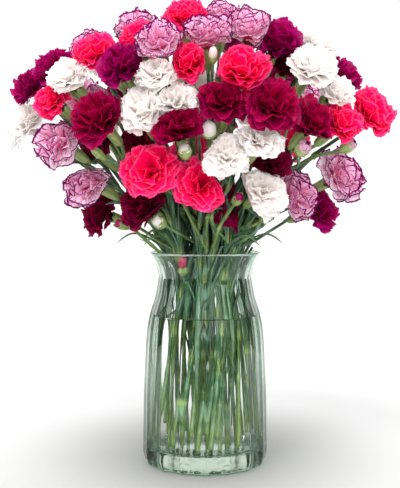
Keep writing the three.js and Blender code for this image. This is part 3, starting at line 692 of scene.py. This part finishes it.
def add_joint_leaf(shell, foot, rising, turn, main, chance):
    """One of the two leaves, or four in the vase's neck, that clasp a joint and lean out from it."""
    if chance.uniform() > LOW_LEAVES + fade(foot[2], BARE_BELOW, LEAFY_ABOVE):
        return
    inside = foot[2] < NECK_HEIGHT - 50
    long = chance.uniform(*(LONG_LEAF if main else SHORT_LEAF))
    long *= 1 - 0.7 * float(fade(foot[2], VASE_HEIGHT + 10, VASE_HEIGHT + 60))
    wide = (chance.uniform(3.6, 6.8) if main else 1.8) * (1.25 if inside else 1)
    lean = chance.uniform(0.03, 0.3) if inside else chance.uniform(0.05, 0.25)
    across = unit(np.cross(rising, ASKEW))
    turn = math.radians(turn)
    out = across * math.cos(turn) + np.cross(rising, across) * math.sin(turn)
    if main and NECK_HEIGHT - CROWD_BELOW < foot[2] < VASE_HEIGHT + 20:
        out = unit(out * (1, 0.35, 1))
        wide += 2.6
        long = max(long, NECK_LEAF)
    s = JOINT_LEAF_SHARES[:, None]
    ahead = np.maximum(0, s)
    start = 0.7 * (STEM_RADIUS if main else STALK_RADIUS)
    path = foot + rising * long * s * (1 - 0.15 * lean * s) + out * (start + long * lean * ahead**2)
    path = path + UP * -0.3 * long * lean * ahead**3
    room = np.where(path[:, 2] < VASE_HEIGHT, inner_radius(path[:, 2]) - WALL_ROOM, 1e3)
    path[:, :2] *= np.minimum(1, room / np.hypot(path[:, 0], path[:, 1]))[:, None]
    path[:, 2] = np.maximum(path[:, 2], FLOOR_HEIGHT + 3)
    half = wide / 2 * np.interp(s, *JOINT_LEAF_WIDTHS)
    side = np.array([-1, -0.5, 0, 0.5, 1, 0])
    keel = np.array([0.35, 0.1, 0, 0.1, 0.35, -0.25]) * wide * 0.55
    marks = pair(chance.uniform(), 1 - np.clip(5 * s, 0, 1))
    add_blade(shell, path, np.cross(out, rising), half, side, keel, long * s, marks)


CALYX_SIDES = 20
SEPALS = 5
CASE_TURNS = np.arange(CALYX_SIDES) / CALYX_SIDES
SEPAL_POINTS = np.abs((CASE_TURNS * SEPALS) % 1 - 0.5) * 2
# Along the calyx from its foot: share of its length, share of its radius, and what a sepal's point
# adds to each.
CALYX_PROFILE = np.array([
    (-0.16, 0.3, 0, 0), (-0.02, 0.36, 0, 0), (0.06, 0.62, 0, 0), (0.18, 0.8, 0, 0), (0.4, 0.9, 0, 0),
    (0.7, 0.95, 0, 0), (0.9, 1, 0, 0), (0.98, 1.06, 0.17, 0.12), (0.96, 1, 0.16, 0.1),
])
OPENING = 0.05


def case_rings(foot, look, along, radii, start):
    """Rings round the line from foot along look, turned by start."""
    across = unit(np.cross(look, ASKEW))
    return ringed(foot + look * along[..., None], look, across, radii, 2 * np.pi * (CASE_TURNS + start))


def add_calyx(shell, flower, chance):
    """The green tube under a head, which ends in five pointed sepals."""
    share, wide, longer, wider = CALYX_PROFILE.T[..., None]
    along = CALYX_LENGTH * (share + longer * SEPAL_POINTS)
    radii = CALYX_RADIUS * (wide + wider * SEPAL_POINTS)
    foot = flower.seat - flower.look * CALYX_LENGTH
    points = case_rings(foot, flower.look, along, radii, chance.uniform())
    grain = pair(CASE_TURNS, along / CALYX_LENGTH)
    shell.grid(points, grain, pair(chance.uniform(), SEPAL_POINTS), CALYX)


def add_bud(shell, bud, chance):
    """A green case with pointed sepals, and its petals, which show at the tip if it is opening."""
    start = chance.uniform()
    closed = bud.open < OPENING
    case_end = BUD_LENGTH * (1 - 0.75 * bud.open)
    share = np.array([-0.06, 0, 0.12, 0.3, 0.55, 0.8, 0.95])[:, None]
    belly = np.sin(np.pi * np.clip(share * 0.62 + 0.12, 0, 1)) ** 0.8
    tip = bud.radius * (0.3 if closed else 0.86)
    whole = np.ones(CALYX_SIDES)
    radii = np.vstack([bud.radius * belly * whole, tip * (1 - 0.5 * SEPAL_POINTS * closed)])
    along = np.vstack([case_end * share * whole, case_end * (1 + 0.18 * SEPAL_POINTS)])
    case = case_rings(bud.seat, bud.look, along, radii, start)
    grain = pair(CASE_TURNS, along / case_end)
    shell.grid(case, grain, pair(chance.uniform(), SEPAL_POINTS), CALYX)
    up = np.linspace(0, 1, 8)[:, None]
    fold = 1 + (0.1 + 0.12 * bud.flare) * np.cos(2 * np.pi * 4 * CASE_TURNS + 3 * up) * up
    wide = 0.9 + bud.flare * (0.5 * up - 0.35)
    radii = bud.radius * wide * np.sqrt(np.maximum(0, 1 - up ** (2.6 + 3 * bud.flare))) * fold
    along = case_end * 0.8 + (BUD_LENGTH - case_end * 0.8) * up
    tuft = case_rings(bud.seat, bud.look, along, radii, start)
    grain = pair(CASE_TURNS * 2 % 1, 0.5 + 0.5 * up)
    shell.grid(tuft, grain, (chance.uniform(), 0.3), PETAL)


def first_stem(bunch):
    return next(stem for stem in stems if stem.bunch == bunch)


# The small red bud that is tucked between the stems in the vase's neck.
NECK_BUD = SimpleNamespace(
    seat=np.array([-20.0, -33.0, 182.0]), look=unit(np.array([-0.05, -0.12, 1.0])),
    radius=4.6, open=0.8, flare=1,
)
NECK_BUD_STALK = 1.1


def add_neck_bud(shell, chance):
    add_bud(shell, NECK_BUD, chance)
    stem, seat = first_stem("centre"), NECK_BUD.seat
    joint = stem.foot + (stem.neck - stem.foot) * 0.86
    path, along = smooth_path([joint, (joint + seat) / 2 - NECK_BUD.look * 3, seat], step=3)
    rings = tube(path, np.full(len(path), NECK_BUD_STALK), STALK_SIDES)
    grain = pair(np.arange(STALK_SIDES) / STALK_SIDES, along[:, None] / GRAIN_LENGTH)
    shell.grid(rings, grain, (chance.uniform(), 0), STEM)


LEAF_WIDTH = 7.0
LEAF_KEEL = 1.5
LEAF_CURVES = {
    "arched": ((0, 0), (12, 11), (30, 17), (46, 8)),
    "sunk": ((0, 0), (8, -16), (13, -42), (15, -72), (11, -104)),
}


def add_leaf(shell, bunch, leaf, chance):
    """A narrow keeled blade that clasps its stem and tapers to a point."""
    rise, compass, shape, size = leaf
    stem = first_stem(bunch)
    above = stem.fork if rise > 0 else stem.foot
    foot = stem.neck + (above - stem.neck) * abs(rise / (above[2] - stem.neck[2]))
    out = turned(np.array([1.0, 0, 0]), compass)
    knots = [foot + (out * far + UP * high) * size for far, high in LEAF_CURVES[shape]]
    path, along = smooth_path(knots, step=4)
    t = (along / along[-1])[:, None]
    half = LEAF_WIDTH / 2 * np.interp(t, [0, 0.2, 0.45, 0.65, 0.85, 1], [0.45, 0.85, 1, 0.85, 0.5, 0.03])
    side = np.array([-1, -0.55, 0, 0.55, 1, 0.5, 0, -0.5])
    dip = LEAF_KEEL * np.interp(t, [0, 0.2, 0.85, 1], [1, 1, 0.7, 0.05])
    keel = dip * np.array([0, 0.55, 0.8, 0.55, 0, 0.85, 1.35, 0.85])
    marks = pair(chance.uniform(), 0.15 * t)
    add_blade(shell, path, np.cross(out, UP), half, side, keel, along[:, None], marks)


# ---- The vase and its water ----
# Its outer side, as (radius, height, share of the flutes), and the inside of its floor, as (share of
# the radius, rise).
VASE_SIDE = (
    (BODY_RADIUS - 2.2, 3, 1),
    (BODY_RADIUS, 10, 1),
    (BODY_RADIUS - 1.6, 84, 1),
    (SHOULDER_RADIUS, 134, 1),
    (NECK_RADIUS + 3.2, 160, 0.9),
    (NECK_RADIUS, NECK_HEIGHT, 0.7),
    (NECK_RADIUS + 3, NECK_HEIGHT + 12, 0.5),
    (RIM_RADIUS, VASE_HEIGHT - 1, 0),
)
INNER_FLOOR = ((0.93, 3.2), (0.84, 1), (0.7, 0), (0.4, 0.4), (0.001, 1))
VASE_TURNS = 192
ROUND_VASE = np.arange(VASE_TURNS) / VASE_TURNS
VASE_GRAIN = 100
FOOT_HOLLOW = 2.5
FOOT_WAVE = 0.7


def vase_outline(heights):
    """Outer radius and share of the flutes at each height."""
    radius, height, flute = np.array(VASE_SIDE).T
    path, _ = smooth_path(np.stack([radius, height, 0 * height], axis=1)[1:5], step=3)
    lower = np.interp(heights, path[:, 1], path[:, 0])
    plain = np.interp(heights, height, radius)
    body = (heights > height[1]) & (heights < height[4])
    return np.where(body, lower, plain), np.interp(heights, height, flute)


def revolved(radii, heights, ribs):
    """Rings round the vase's axis, hollowed between their ridges by a share of the flutes' depth."""
    angle = 2 * np.pi * np.arange(VASE_TURNS) / VASE_TURNS
    groove = 0.9 * np.abs(np.sin(angle * FLUTES / 2)) ** 0.9
    out = radii[:, None] - FLUTE_DEPTH * ribs[:, None] * groove
    return np.stack([out * np.cos(angle), out * np.sin(angle), heights[:, None] + 0 * out], axis=-1)


def inner_radius(heights):
    radius, flute = vase_outline(heights)
    return radius - GLASS - 0.6 * FLUTE_DEPTH * flute


def make_vase(material):
    steps = ([3, 4.5, 6.5, 10], np.arange(16, 160, 4), np.arange(160, 201.5, 2), [VASE_HEIGHT - 1])
    heights = np.unique(np.concatenate(steps))
    radius, flute = vase_outline(heights)
    hollow = [(wide, FOOT_HOLLOW, 0) for wide in (0.05, 12, 20, 27, 33, 38, 42)]
    foot = ((-12, FOOT_HOLLOW, 0.2), (-6, 0.4, 0.5), (-3, 0, 0.8), (0, 0, 1), (2.4, 1, 1))
    lip = ((0.5, 0.3), (1.6, 0), (2.8, 0.5))
    inside = np.arange(VASE_HEIGHT - 2, FLOOR_HEIGHT + 6, -3)
    last = inner_radius(inside[-1:])[0]
    rows = hollow + [(FOOT_RADIUS + out, high, rib) for out, high, rib in foot]
    rows += list(zip(radius, heights, flute))
    rows += [(RIM_RADIUS - far, VASE_HEIGHT - low, 0) for far, low in lip]
    rows += [(wide, high, 0) for wide, high in zip(inner_radius(inside), inside)]
    rows += [(last * share, FLOOR_HEIGHT + up, 0) for share, up in INNER_FLOOR]
    radii, highs, ribs = np.array(rows).T
    points = revolved(radii, highs, ribs)
    for k in range(2, len(hollow)):
        wave = np.sin(2 * np.pi * (FLUTES / 2 * ROUND_VASE + 0.5 * (k % 2)))
        points[k, :, 2] += FOOT_WAVE * (1 + wave)
    deep = np.where(np.arange(len(highs)) > len(hollow), 1 - fade(highs, 1, 9), 0)[:, None]
    dry = fade(highs, WATER_LEVEL, WATER_LEVEL + 8)[:, None]
    shell = Shell()
    shell.grid(points, pair(ROUND_VASE, highs[:, None] / VASE_GRAIN), pair(deep, dry))
    shell.piece("ribbed_vase", [material], "glass", ["vase"])


# The water reaches a little into the glass, and creeps up it at its edge.
WATER_OVERLAP = 0.12
MENISCUS = 1.6


def make_water(material):
    inside = np.append(np.arange(FLOOR_HEIGHT + 8, WATER_LEVEL - 1, 4), [WATER_LEVEL - 1, WATER_LEVEL])
    wall = inner_radius(inside)
    rows = [
        (wall[0] * share + WATER_OVERLAP, FLOOR_HEIGHT + up - WATER_OVERLAP)
        for share, up in INNER_FLOOR[::-1]
    ]
    rows += list(zip(wall + WATER_OVERLAP, inside))
    edge = ((WATER_OVERLAP, MENISCUS), (-1, 0.6), (-2.6, 0.1), (-5, 0))
    rows += [(wall[-1] + out, WATER_LEVEL + up) for out, up in edge]
    rows.append((0.05, WATER_LEVEL))
    radii, highs = np.array(rows).T
    # The meniscus is marked for the deep green tint, a painted dark line where the water meets the glass.
    line = fade(highs, WATER_LEVEL, WATER_LEVEL + 0.4)[:, None]
    shell = Shell()
    grain = pair(ROUND_VASE, highs[:, None] / VASE_GRAIN)
    shell.grid(revolved(radii, highs, 0 * radii), grain, pair(line, 0))
    shell.piece("vase_water", [material], "water", ["water"])


# ---- Materials ----
class Finish:
    """A material's nodes, or a group's, with short calls to add and link them."""

    def __init__(self, tree):
        self.tree = tree

    def node(self, kind, inputs=(), **settings):
        made = self.tree.nodes.new("ShaderNode" + kind)
        for name, value in settings.items():
            setattr(made, name, value)
        for name, value in dict(inputs).items():
            self.feed(made.inputs[name], value)
        return made

    def feed(self, socket, value):
        if isinstance(value, bpy.types.NodeSocket):
            self.tree.links.new(value, socket)
        elif socket.type == "RGBA":
            socket.default_value = (*value, 1)
        else:
            socket.default_value = value

    def math(self, operation, a, b=0.0):
        return self.node("Math", {0: a, 1: b}, operation=operation).outputs[0]

    def plus(self, a, b):
        return self.math("ADD", a, b)

    def less(self, a, b):
        return self.math("SUBTRACT", a, b)

    def times(self, a, b):
        return self.math("MULTIPLY", a, b)

    def fade(self, value, low, high):
        ends = {"Value": value, "From Min": low, "From Max": high}
        return self.node("MapRange", ends, interpolation_type="SMOOTHSTEP").outputs["Result"]

    def blend(self, share, one, other):
        return self.node("Mix", {0: share, 6: one, 7: other}, data_type="RGBA").outputs[2]

    def mixed(self, share, one, other):
        """A shader, with a share of another."""
        return self.node("MixShader", {0: share, 1: one, 2: other}).outputs[0]

    def skin(self, colour, roughness, gloss, relief, strength, height):
        """A rough surface with a relief."""
        bump = self.node("Bump", {"Strength": strength, "Distance": height, "Height": relief}).outputs[0]
        settings = {"Base Color": colour, "Roughness": roughness, "Normal": bump}
        return self.node("BsdfPrincipled", {**settings, "Specular IOR Level": gloss}).outputs[0]

    def noise(self, across, along, lot, detail=3.0):
        place = self.node("CombineXYZ", {0: across, 1: along, 2: lot}).outputs[0]
        settings = {"Vector": place, "Scale": 1.0, "Detail": detail, "Roughness": 0.6}
        return self.node("TexNoise", settings).outputs["Fac"]

    def layout(self):
        """(across, along, lot, order) of the surface."""
        sockets = []
        for label in ("grain", "marks"):
            place = self.node("UVMap", uv_map=label).outputs[0]
            sockets += list(self.node("SeparateXYZ", {0: place}).outputs)[:2]
        return sockets

    def put_out(self, masks):
        """Ends a group with its masks, and returns it."""
        for label in masks:
            self.tree.interface.new_socket(label, in_out="OUTPUT", socket_type="NodeSocketFloat")
        end = self.tree.nodes.new("NodeGroupOutput")
        for label, value in masks.items():
            self.feed(end.inputs[label], value)
        return self.tree

    def close(self, shader):
        return self.node("OutputMaterial", {"Surface": shader})


def new_group(name, values):
    """The nodes of a new group, and its inputs."""
    group = bpy.data.node_groups.new(name, "ShaderNodeTree")
    for label, value in values.items():
        socket = group.interface.new_socket(label, in_out="INPUT", socket_type="NodeSocketFloat")
        socket.default_value = value
    return Finish(group), group.nodes.new("NodeGroupInput").outputs


def petal_surface():
    """Veins that run up a petal, its rim, which some looks use for a painted highlight, its throat, partly
    painted shade, and its blotches.
    """
    f, given = new_group("petal_surface", {"Vein Count": 12.0, "Vein Width": 0.05, "Rim Width": 0.1})
    across, along, lot, order = f.layout()
    far_lot = f.times(lot, 41.0)
    spread = f.times(f.less(across, 0.5), given["Vein Count"])
    veins = f.noise(spread, f.times(along, 1.6), far_lot, 2.0)
    fine = f.noise(f.times(spread, 3.0), f.times(along, 3.0), far_lot, 2.0)
    blotch = f.noise(f.times(across, 4.0), f.times(along, 3.0), far_lot)
    beside = f.math("ABSOLUTE", f.less(veins, 0.5))
    ragged = f.plus(along, f.times(f.less(fine, 0.5), 0.05))
    # The rim band: the picotee's own dark edge, and in the red and purple looks a painted highlight along
    # the edge.
    rim_start = f.less(1.0, given["Rim Width"])
    rim_low = f.less(rim_start, f.times(given["Rim Width"], 0.6))
    return f.put_out({
        "Veins": f.fade(beside, given["Vein Width"], 0.0),
        "Rim and Highlight": f.fade(ragged, rim_low, rim_start),
        # Throat: the petal's own throat colour, darkened in the red and purple looks as painted shade deep
        # in the head.
        "Throat and Shade": f.fade(along, 0.7, 0.2),
        "Blotch": f.fade(blotch, 0.42, 0.66),
        "Order": f.fade(order, 0.2, 0.95),
        "Relief": fine,
    })


def green_surface():
    """Fine lines along the growth of stems, leaves and calyxes, their waxy bloom, and their marks."""
    f, given = new_group("green_surface", {"Line Count": 14.0, "Patch Size": 1.0})
    across, along, lot, mark = f.layout()
    far_lot = f.times(lot, 37.0)
    lines = f.noise(f.times(across, given["Line Count"]), along, far_lot, 2.0)
    patch = f.math("DIVIDE", along, given["Patch Size"])
    bloom = f.noise(f.times(across, 2.0), f.times(patch, 3.0), far_lot, 4.0)
    return f.put_out({"Lines": lines, "Bloom": f.fade(bloom, 0.4, 0.62), "Lot": lot, "Mark": mark})


def new_material(name):
    material = bpy.data.materials.new(name)
    material.use_nodes = True
    material.node_tree.nodes.clear()
    return material, Finish(material.node_tree)


def petal_material(name, group, look):
    """A petal that lets some light through, with its parts as strong as its look says."""
    material, f = new_material(name)
    settings = {"Vein Count": look["count"], "Vein Width": look["vein_width"]}
    settings["Rim Width"] = look["rim_width"]
    out = f.node("Group", settings, node_tree=group).outputs
    colour = f.blend(out["Order"], look["inner"], look["outer"])
    for mask, share, tone in (
        ("Blotch", "blotch", "second"),
        # Throat: its own colour, and in the red and purple looks painted shade deep in the head.
        ("Throat and Shade", "depth", "throat_and_shade"),
        ("Veins", "veins", "vein"),
        # Rim: the picotee's own edge colour, and a painted highlight along the edge in the red and purple
        # looks.
        ("Rim and Highlight", "rim_share", "rim"),
    ):
        colour = f.blend(f.times(out[mask], look[share]), colour, look[tone])
    shader = f.skin(colour, look["roughness"], look["gloss"], out["Relief"], 0.35, 0.0006)
    glow = f.node("BsdfTranslucent", {"Color": colour}).outputs[0]
    f.close(f.mixed(look["glow"], shader, glow))
    return material


def green_material(name, group, base, bloom, mark, look):
    """Green growth: its waxy bloom, riper plants, dark lines, and a paler colour at its marks."""
    material, f = new_material(name)
    settings = {"Line Count": look["count"], "Patch Size": look["patch"]}
    out = f.node("Group", settings, node_tree=group).outputs
    colour = rgb(base)
    for mask, share, tone in (
        (out["Bloom"], "bloom", bloom),
        (f.fade(out["Lot"], 0.5, 0.9), "ripe", look["olive"]),
        (f.fade(out["Lines"], 0.45, 0.65), "lines", look["line"]),
        (out["Mark"], "mark", mark),
    ):
        colour = f.blend(f.times(mask, look[share]), colour, rgb(tone))
    f.close(f.skin(colour, 0.48, 0.4, out["Lines"], 0.3, 0.0004))
    return material


# How often light turns inside the glass before it goes straight on: below the water's line, and above.
MOST_TURNS = 8.0
DRY_TURNS = 3.0
# DEEP_GREEN tints the thick foot of the vase, and the water's meniscus as a painted dark line.
DEEP_GREEN = (0.2, 0.33, 0.22)
SHADOW_TINT = (0.93, 0.97, 0.94)


def clear_material(name, ior, edge, mirror, shade, density=0.0, absorb=(1, 1, 1)):
    """Glass or water: its colour at a slant, in its mirror images and where light goes straight on."""
    material, f = new_material(name)
    slant = f.node("LayerWeight", {"Blend": 0.5}).outputs["Facing"]
    deep, dry = f.layout()[2:]
    colour = f.blend(f.fade(slant, 0.12, 0.6), (1, 1, 1), edge)
    # Deep marks the vase's thick foot, and in the water the meniscus, painted as a dark line.
    colour = f.blend(deep, colour, DEEP_GREEN)
    settings = {"Base Color": colour, "Roughness": 0.0, "IOR": ior, "Transmission Weight": 1.0}
    body = f.node("BsdfPrincipled", {**settings, "Specular Tint": mirror}).outputs[0]
    through = f.node("BsdfTransparent", {"Color": shade}).outputs[0]
    shadow = f.node("BsdfTransparent", {"Color": SHADOW_TINT}).outputs[0]
    path = f.node("LightPath").outputs
    most = f.less(MOST_TURNS, f.times(dry, MOST_TURNS - DRY_TURNS))
    seen = f.mixed(f.math("GREATER_THAN", path["Ray Depth"], most), body, through)
    output = f.close(f.mixed(path["Is Shadow Ray"], seen, shadow))
    if density:
        volume = f.node("VolumeAbsorption", {"Color": absorb, "Density": density})
        f.feed(output.inputs["Volume"], volume.outputs[0])
    return material


def rgb(shade):
    """A colour that is given in display values, as 0xRRGGBB."""
    values = [(shade >> place & 255) / 255 for place in (16, 8, 0)]
    return tuple(v / 12.92 if v <= 0.04045 else ((v + 0.055) / 1.055) ** 2.4 for v in values)


# How strongly each part of a petal shows. Glow is the share of light that a petal lets through.
# Depth is the share of the throat colour, which is partly painted shade deep in the head.
PLAIN_PETAL = dict(
    blotch=0.7, depth=0.8, veins=0.4, count=9, vein_width=0.06, rim_share=0.4, rim_width=0.05,
    roughness=0.45, gloss=0.15, glow=0.2,
)


def petal_look(inner, outer, second, throat_and_shade, vein, rim, **other):
    """A petal's colours, and where it differs from a plain one."""
    shades = dict(inner=inner, outer=outer, second=second, throat_and_shade=throat_and_shade, vein=vein, rim=rim)
    return {**PLAIN_PETAL, **{part: rgb(shade) for part, shade in shades.items()}, **other}


# Each rim colour is the picotee's own dark edge, and in the red, purple, wine and burgundy looks a lighter
# painted highlight.
PETAL_LOOKS = {
    "white": petal_look(
        0xFFFCF9, 0xFFFDFB, 0xFFF7F5, 0xFCF4EA, 0xFAF2F0, 0xFFFFFE, blotch=0.5, depth=0.5, veins=0.3,
        count=12, vein_width=0.05, roughness=0.6, gloss=0.2, glow=0.42,
    ),
    "picotee": petal_look(
        0xFFDCF2, 0xFFF8FF, 0xFFB6DE, 0xFF429A, 0xCE0688, 0x7A0062, blotch=0.5, depth=0.85, veins=1.0,
        count=11, vein_width=0.036, rim_share=1.0, rim_width=0.036, roughness=0.6, gloss=0.1, glow=0.58,
    ),
    "purple": petal_look(0xAA0052, 0xA60064, 0x7C003A, 0x4E0022, 0x700042, 0xC80C8C),
    "wine": petal_look(0xB2003E, 0x9E004A, 0x80002E, 0x4C0016, 0x6C002E, 0xBA0864),
    # burgundy: a darker purple, partly painted shade for heads deep in the bunch.
    "burgundy_painted_shade": petal_look(0x7C002A, 0x860038, 0x5C0022, 0x360010, 0x540026, 0x9A0452, glow=0.15),
    "red": petal_look(
        0xFF1070, 0xFF2884, 0xFF0A62, 0xCE0042, 0xF00054, 0xFF70A6, blotch=0.5, depth=0.7, rim_share=0.45,
        rim_width=0.045, roughness=0.5, gloss=0.1, glow=0.3,
    ),
    "faded": petal_look(
        0xD63C64, 0xC8607C, 0xB44664, 0xDC2854, 0xAA2850, 0xDE8CA0, blotch=0.6, veins=0.5, count=6,
        vein_width=0.05, rim_share=0.5, rim_width=0.1, roughness=0.5, gloss=0.1,
    ),
}
# The purple heads of two darker kinds, by their numbers: wine is a redder purple, and burgundy is partly a
# darker purple, partly painted shade on heads that sit in shade among the others.
DARKER = {"burgundy_painted_shade": (4, 5, 6, 8, 12, 16, 17), "wine": (3, 7, 10, 11, 14)}
DARK_HEADS = {"purple_{:02d}".format(n): kind for kind, numbers in DARKER.items() for n in numbers}


# ---- The pieces ----
set_camera()
petal_group, green_group = petal_surface(), green_surface()
petals = {name: petal_material("petal_" + name, petal_group, look) for name, look in PETAL_LOOKS.items()}
greens = [
    green_material(name + "_green", green_group, base, bloom, mark, look)
    for name, base, bloom, mark, look in (
        ("stem", 0x366234, 0x86A68E, 0xA6B864, dict(
            count=9, patch=1, bloom=0.6, ripe=0.5, olive=0x788E32,
            lines=0.5, line=0x183C1A, mark=0.65,
        )),
        ("calyx", 0x708E4C, 0x98AE70, 0xBEC88C, dict(
            count=36, patch=0.6, bloom=0.6, ripe=0.2, olive=0x869C3C,
            lines=0.4, line=0x547636, mark=0.35,
        )),
        ("leaf", 0x325A38, 0x7A9888, 0xAAB85C, dict(
            count=14, patch=1.5, bloom=0.75, ripe=0.15, olive=0x6E8C3C,
            lines=0.5, line=0x26502A, mark=0.7,
        )),
    )
]
make_vase(clear_material(
    "green_glass", 1.5, (0.12, 0.22, 0.14), (0.2, 0.22, 0.21), (0.8, 0.88, 0.82), 18.0, (0.7, 0.8, 0.7)
))
make_water(clear_material("clear_water", 1.33, (0.9, 0.93, 0.9), (0.05, 0.05, 0.05), (0.97, 0.99, 0.98)))

chance = np.random.default_rng(1207)
for bunch in NECKS:
    shell = Shell()
    for stalk in stalks:
        if stalk.stem.bunch != bunch:
            continue
        add_stem(shell, stalk, chance)
        if stalk.flower.kind == "bud":
            bud = Shell()
            add_bud(bud, stalk.flower, chance)
            place = "{:03.0f}_{:03.0f}".format(stalk.flower.middle[0] + 500, stalk.flower.middle[2])
            bud.piece("bud_" + place, [*greens, petals[stalk.flower.colour]], "stem")
        else:
            add_calyx(shell, stalk.flower, chance)
    for leaf in LEAVES.get(bunch, ()):
        add_leaf(shell, bunch, leaf, chance)
    shell.piece("greens_" + bunch, greens, "stem", ["stems_" + bunch])

neck_bud = Shell()
add_neck_bud(neck_bud, chance)
neck_bud.piece("bud_in_neck", [*greens, petals["faded"]], "stem")

by_node = {}
for n, head in enumerate(heads):
    name = head.node if head.kind == "head" else "rear_{}_{:02d}".format(head.colour, n)
    by_node.setdefault(name, []).append(head)
for name, own in by_node.items():
    shell = Shell()
    for head in own:
        add_petals(shell, head, chance)
    nodes = ["bloom_" + name] if own[0].kind == "head" else []
    material = petals[DARK_HEADS.get(name, own[0].colour)]
    shell.piece("carnation_" + name, [material], "petal_" + own[0].colour, nodes)


# ---- Floor and light ----
# All in metres. The floor's painted soft shadow fades out round a middle, in two steps.
FLOOR_FRONT = -0.45
FLOOR_BACK = 2.4
FLOOR_SIDE = 1.1
PAINTED_SHADOW_MIDDLE = 0.06
PAINTED_SHADOW_REACH = 0.19
PAINTED_SHADOW_END = 0.46
PAINTED_SHADOW_SQUEEZE = 0.77
PAINTED_SHADOW_STRETCH = 0.85
PAINTED_SHADOW_TONES = (0.215, 0.585, 0.97)


def make_floor():
    """A pale floor with a painted soft grey shadow round the foot of the vase."""
    vertices = [(x, y, 0) for y in (FLOOR_FRONT, FLOOR_BACK) for x in (-FLOOR_SIDE, FLOOR_SIDE)]
    mesh = bpy.data.meshes.new("floor")
    mesh.from_pydata(vertices, [], [(0, 1, 3, 2)])
    material, f = new_material("floor_with_painted_shadow")
    place = f.node("NewGeometry").outputs["Position"]
    x, y, _ = f.node("SeparateXYZ", {0: place}).outputs
    back = f.times(f.less(y, PAINTED_SHADOW_MIDDLE), PAINTED_SHADOW_SQUEEZE)
    side = f.times(x, PAINTED_SHADOW_STRETCH)
    far = f.math("SQRT", f.plus(f.math("POWER", side, 2.0), f.math("POWER", back, 2.0)))
    # Painted shadow: darkest at the middle, grey further out, then the pale floor beyond.
    shadow_dark, shadow_grey, pale = ((tone,) * 3 for tone in PAINTED_SHADOW_TONES)
    near = f.blend(f.fade(far, 0.0, PAINTED_SHADOW_REACH), shadow_dark, shadow_grey)
    colour = f.blend(f.fade(far, PAINTED_SHADOW_REACH, PAINTED_SHADOW_END), near, pale)
    f.close(f.node("BsdfPrincipled", {"Base Color": colour, "Roughness": 0.8}).outputs[0])
    mesh.materials.append(material)
    floor = new_object("floor", mesh)


def add_light(name, place, aim, size, power):
    data = bpy.data.lights.new(name, "AREA")
    data.shape = "DISK"
    data.size = size
    data.energy = power
    light = new_object(name, data)
    light.location = place
    light.rotation_euler = (Vector(aim) - Vector(place)).to_track_quat("-Z", "Y").to_euler()


def set_world(strength, dim):
    """An even white room, with dim sides and front for what the glass mirrors or bends."""
    world = bpy.data.worlds.new("studio")
    world.use_nodes = True
    background = world.node_tree.nodes["Background"]
    background.inputs["Color"].default_value = (1, 1, 1, 1)
    f = Finish(world.node_tree)
    path = f.node("LightPath").outputs
    clear = f.math("MAXIMUM", path["Is Reflection Ray"], path["Is Transmission Ray"])
    clear = f.times(clear, f.less(1.0, path["Is Diffuse Ray"]))
    generated = f.node("TexCoord").outputs["Generated"]
    towards = f.node("SeparateXYZ", {0: generated}).outputs
    lit = f.math("MAXIMUM", f.fade(towards[1], 0.62, 0.93), f.fade(towards[2], 0.35, 0.75))
    dimmer = f.times(f.times(clear, f.less(1.0, lit)), strength - dim)
    f.feed(background.inputs["Strength"], f.less(strength, dimmer))
    bpy.context.scene.world = world


make_floor()
set_world(1.08, 0.15)
add_light("key", (-0.9, -1.3, 1.5), (0, 0, 0.28), 0.9, 18)
add_light("front", (0.25, -1.7, 0.75), (0, 0, 0.3), 1.0, 17)
add_light("top", (0.1, 0.5, 1.7), (0, 0, 0.3), 1.0, 12)
bpy.context.scene.view_settings.view_transform = "Standard"
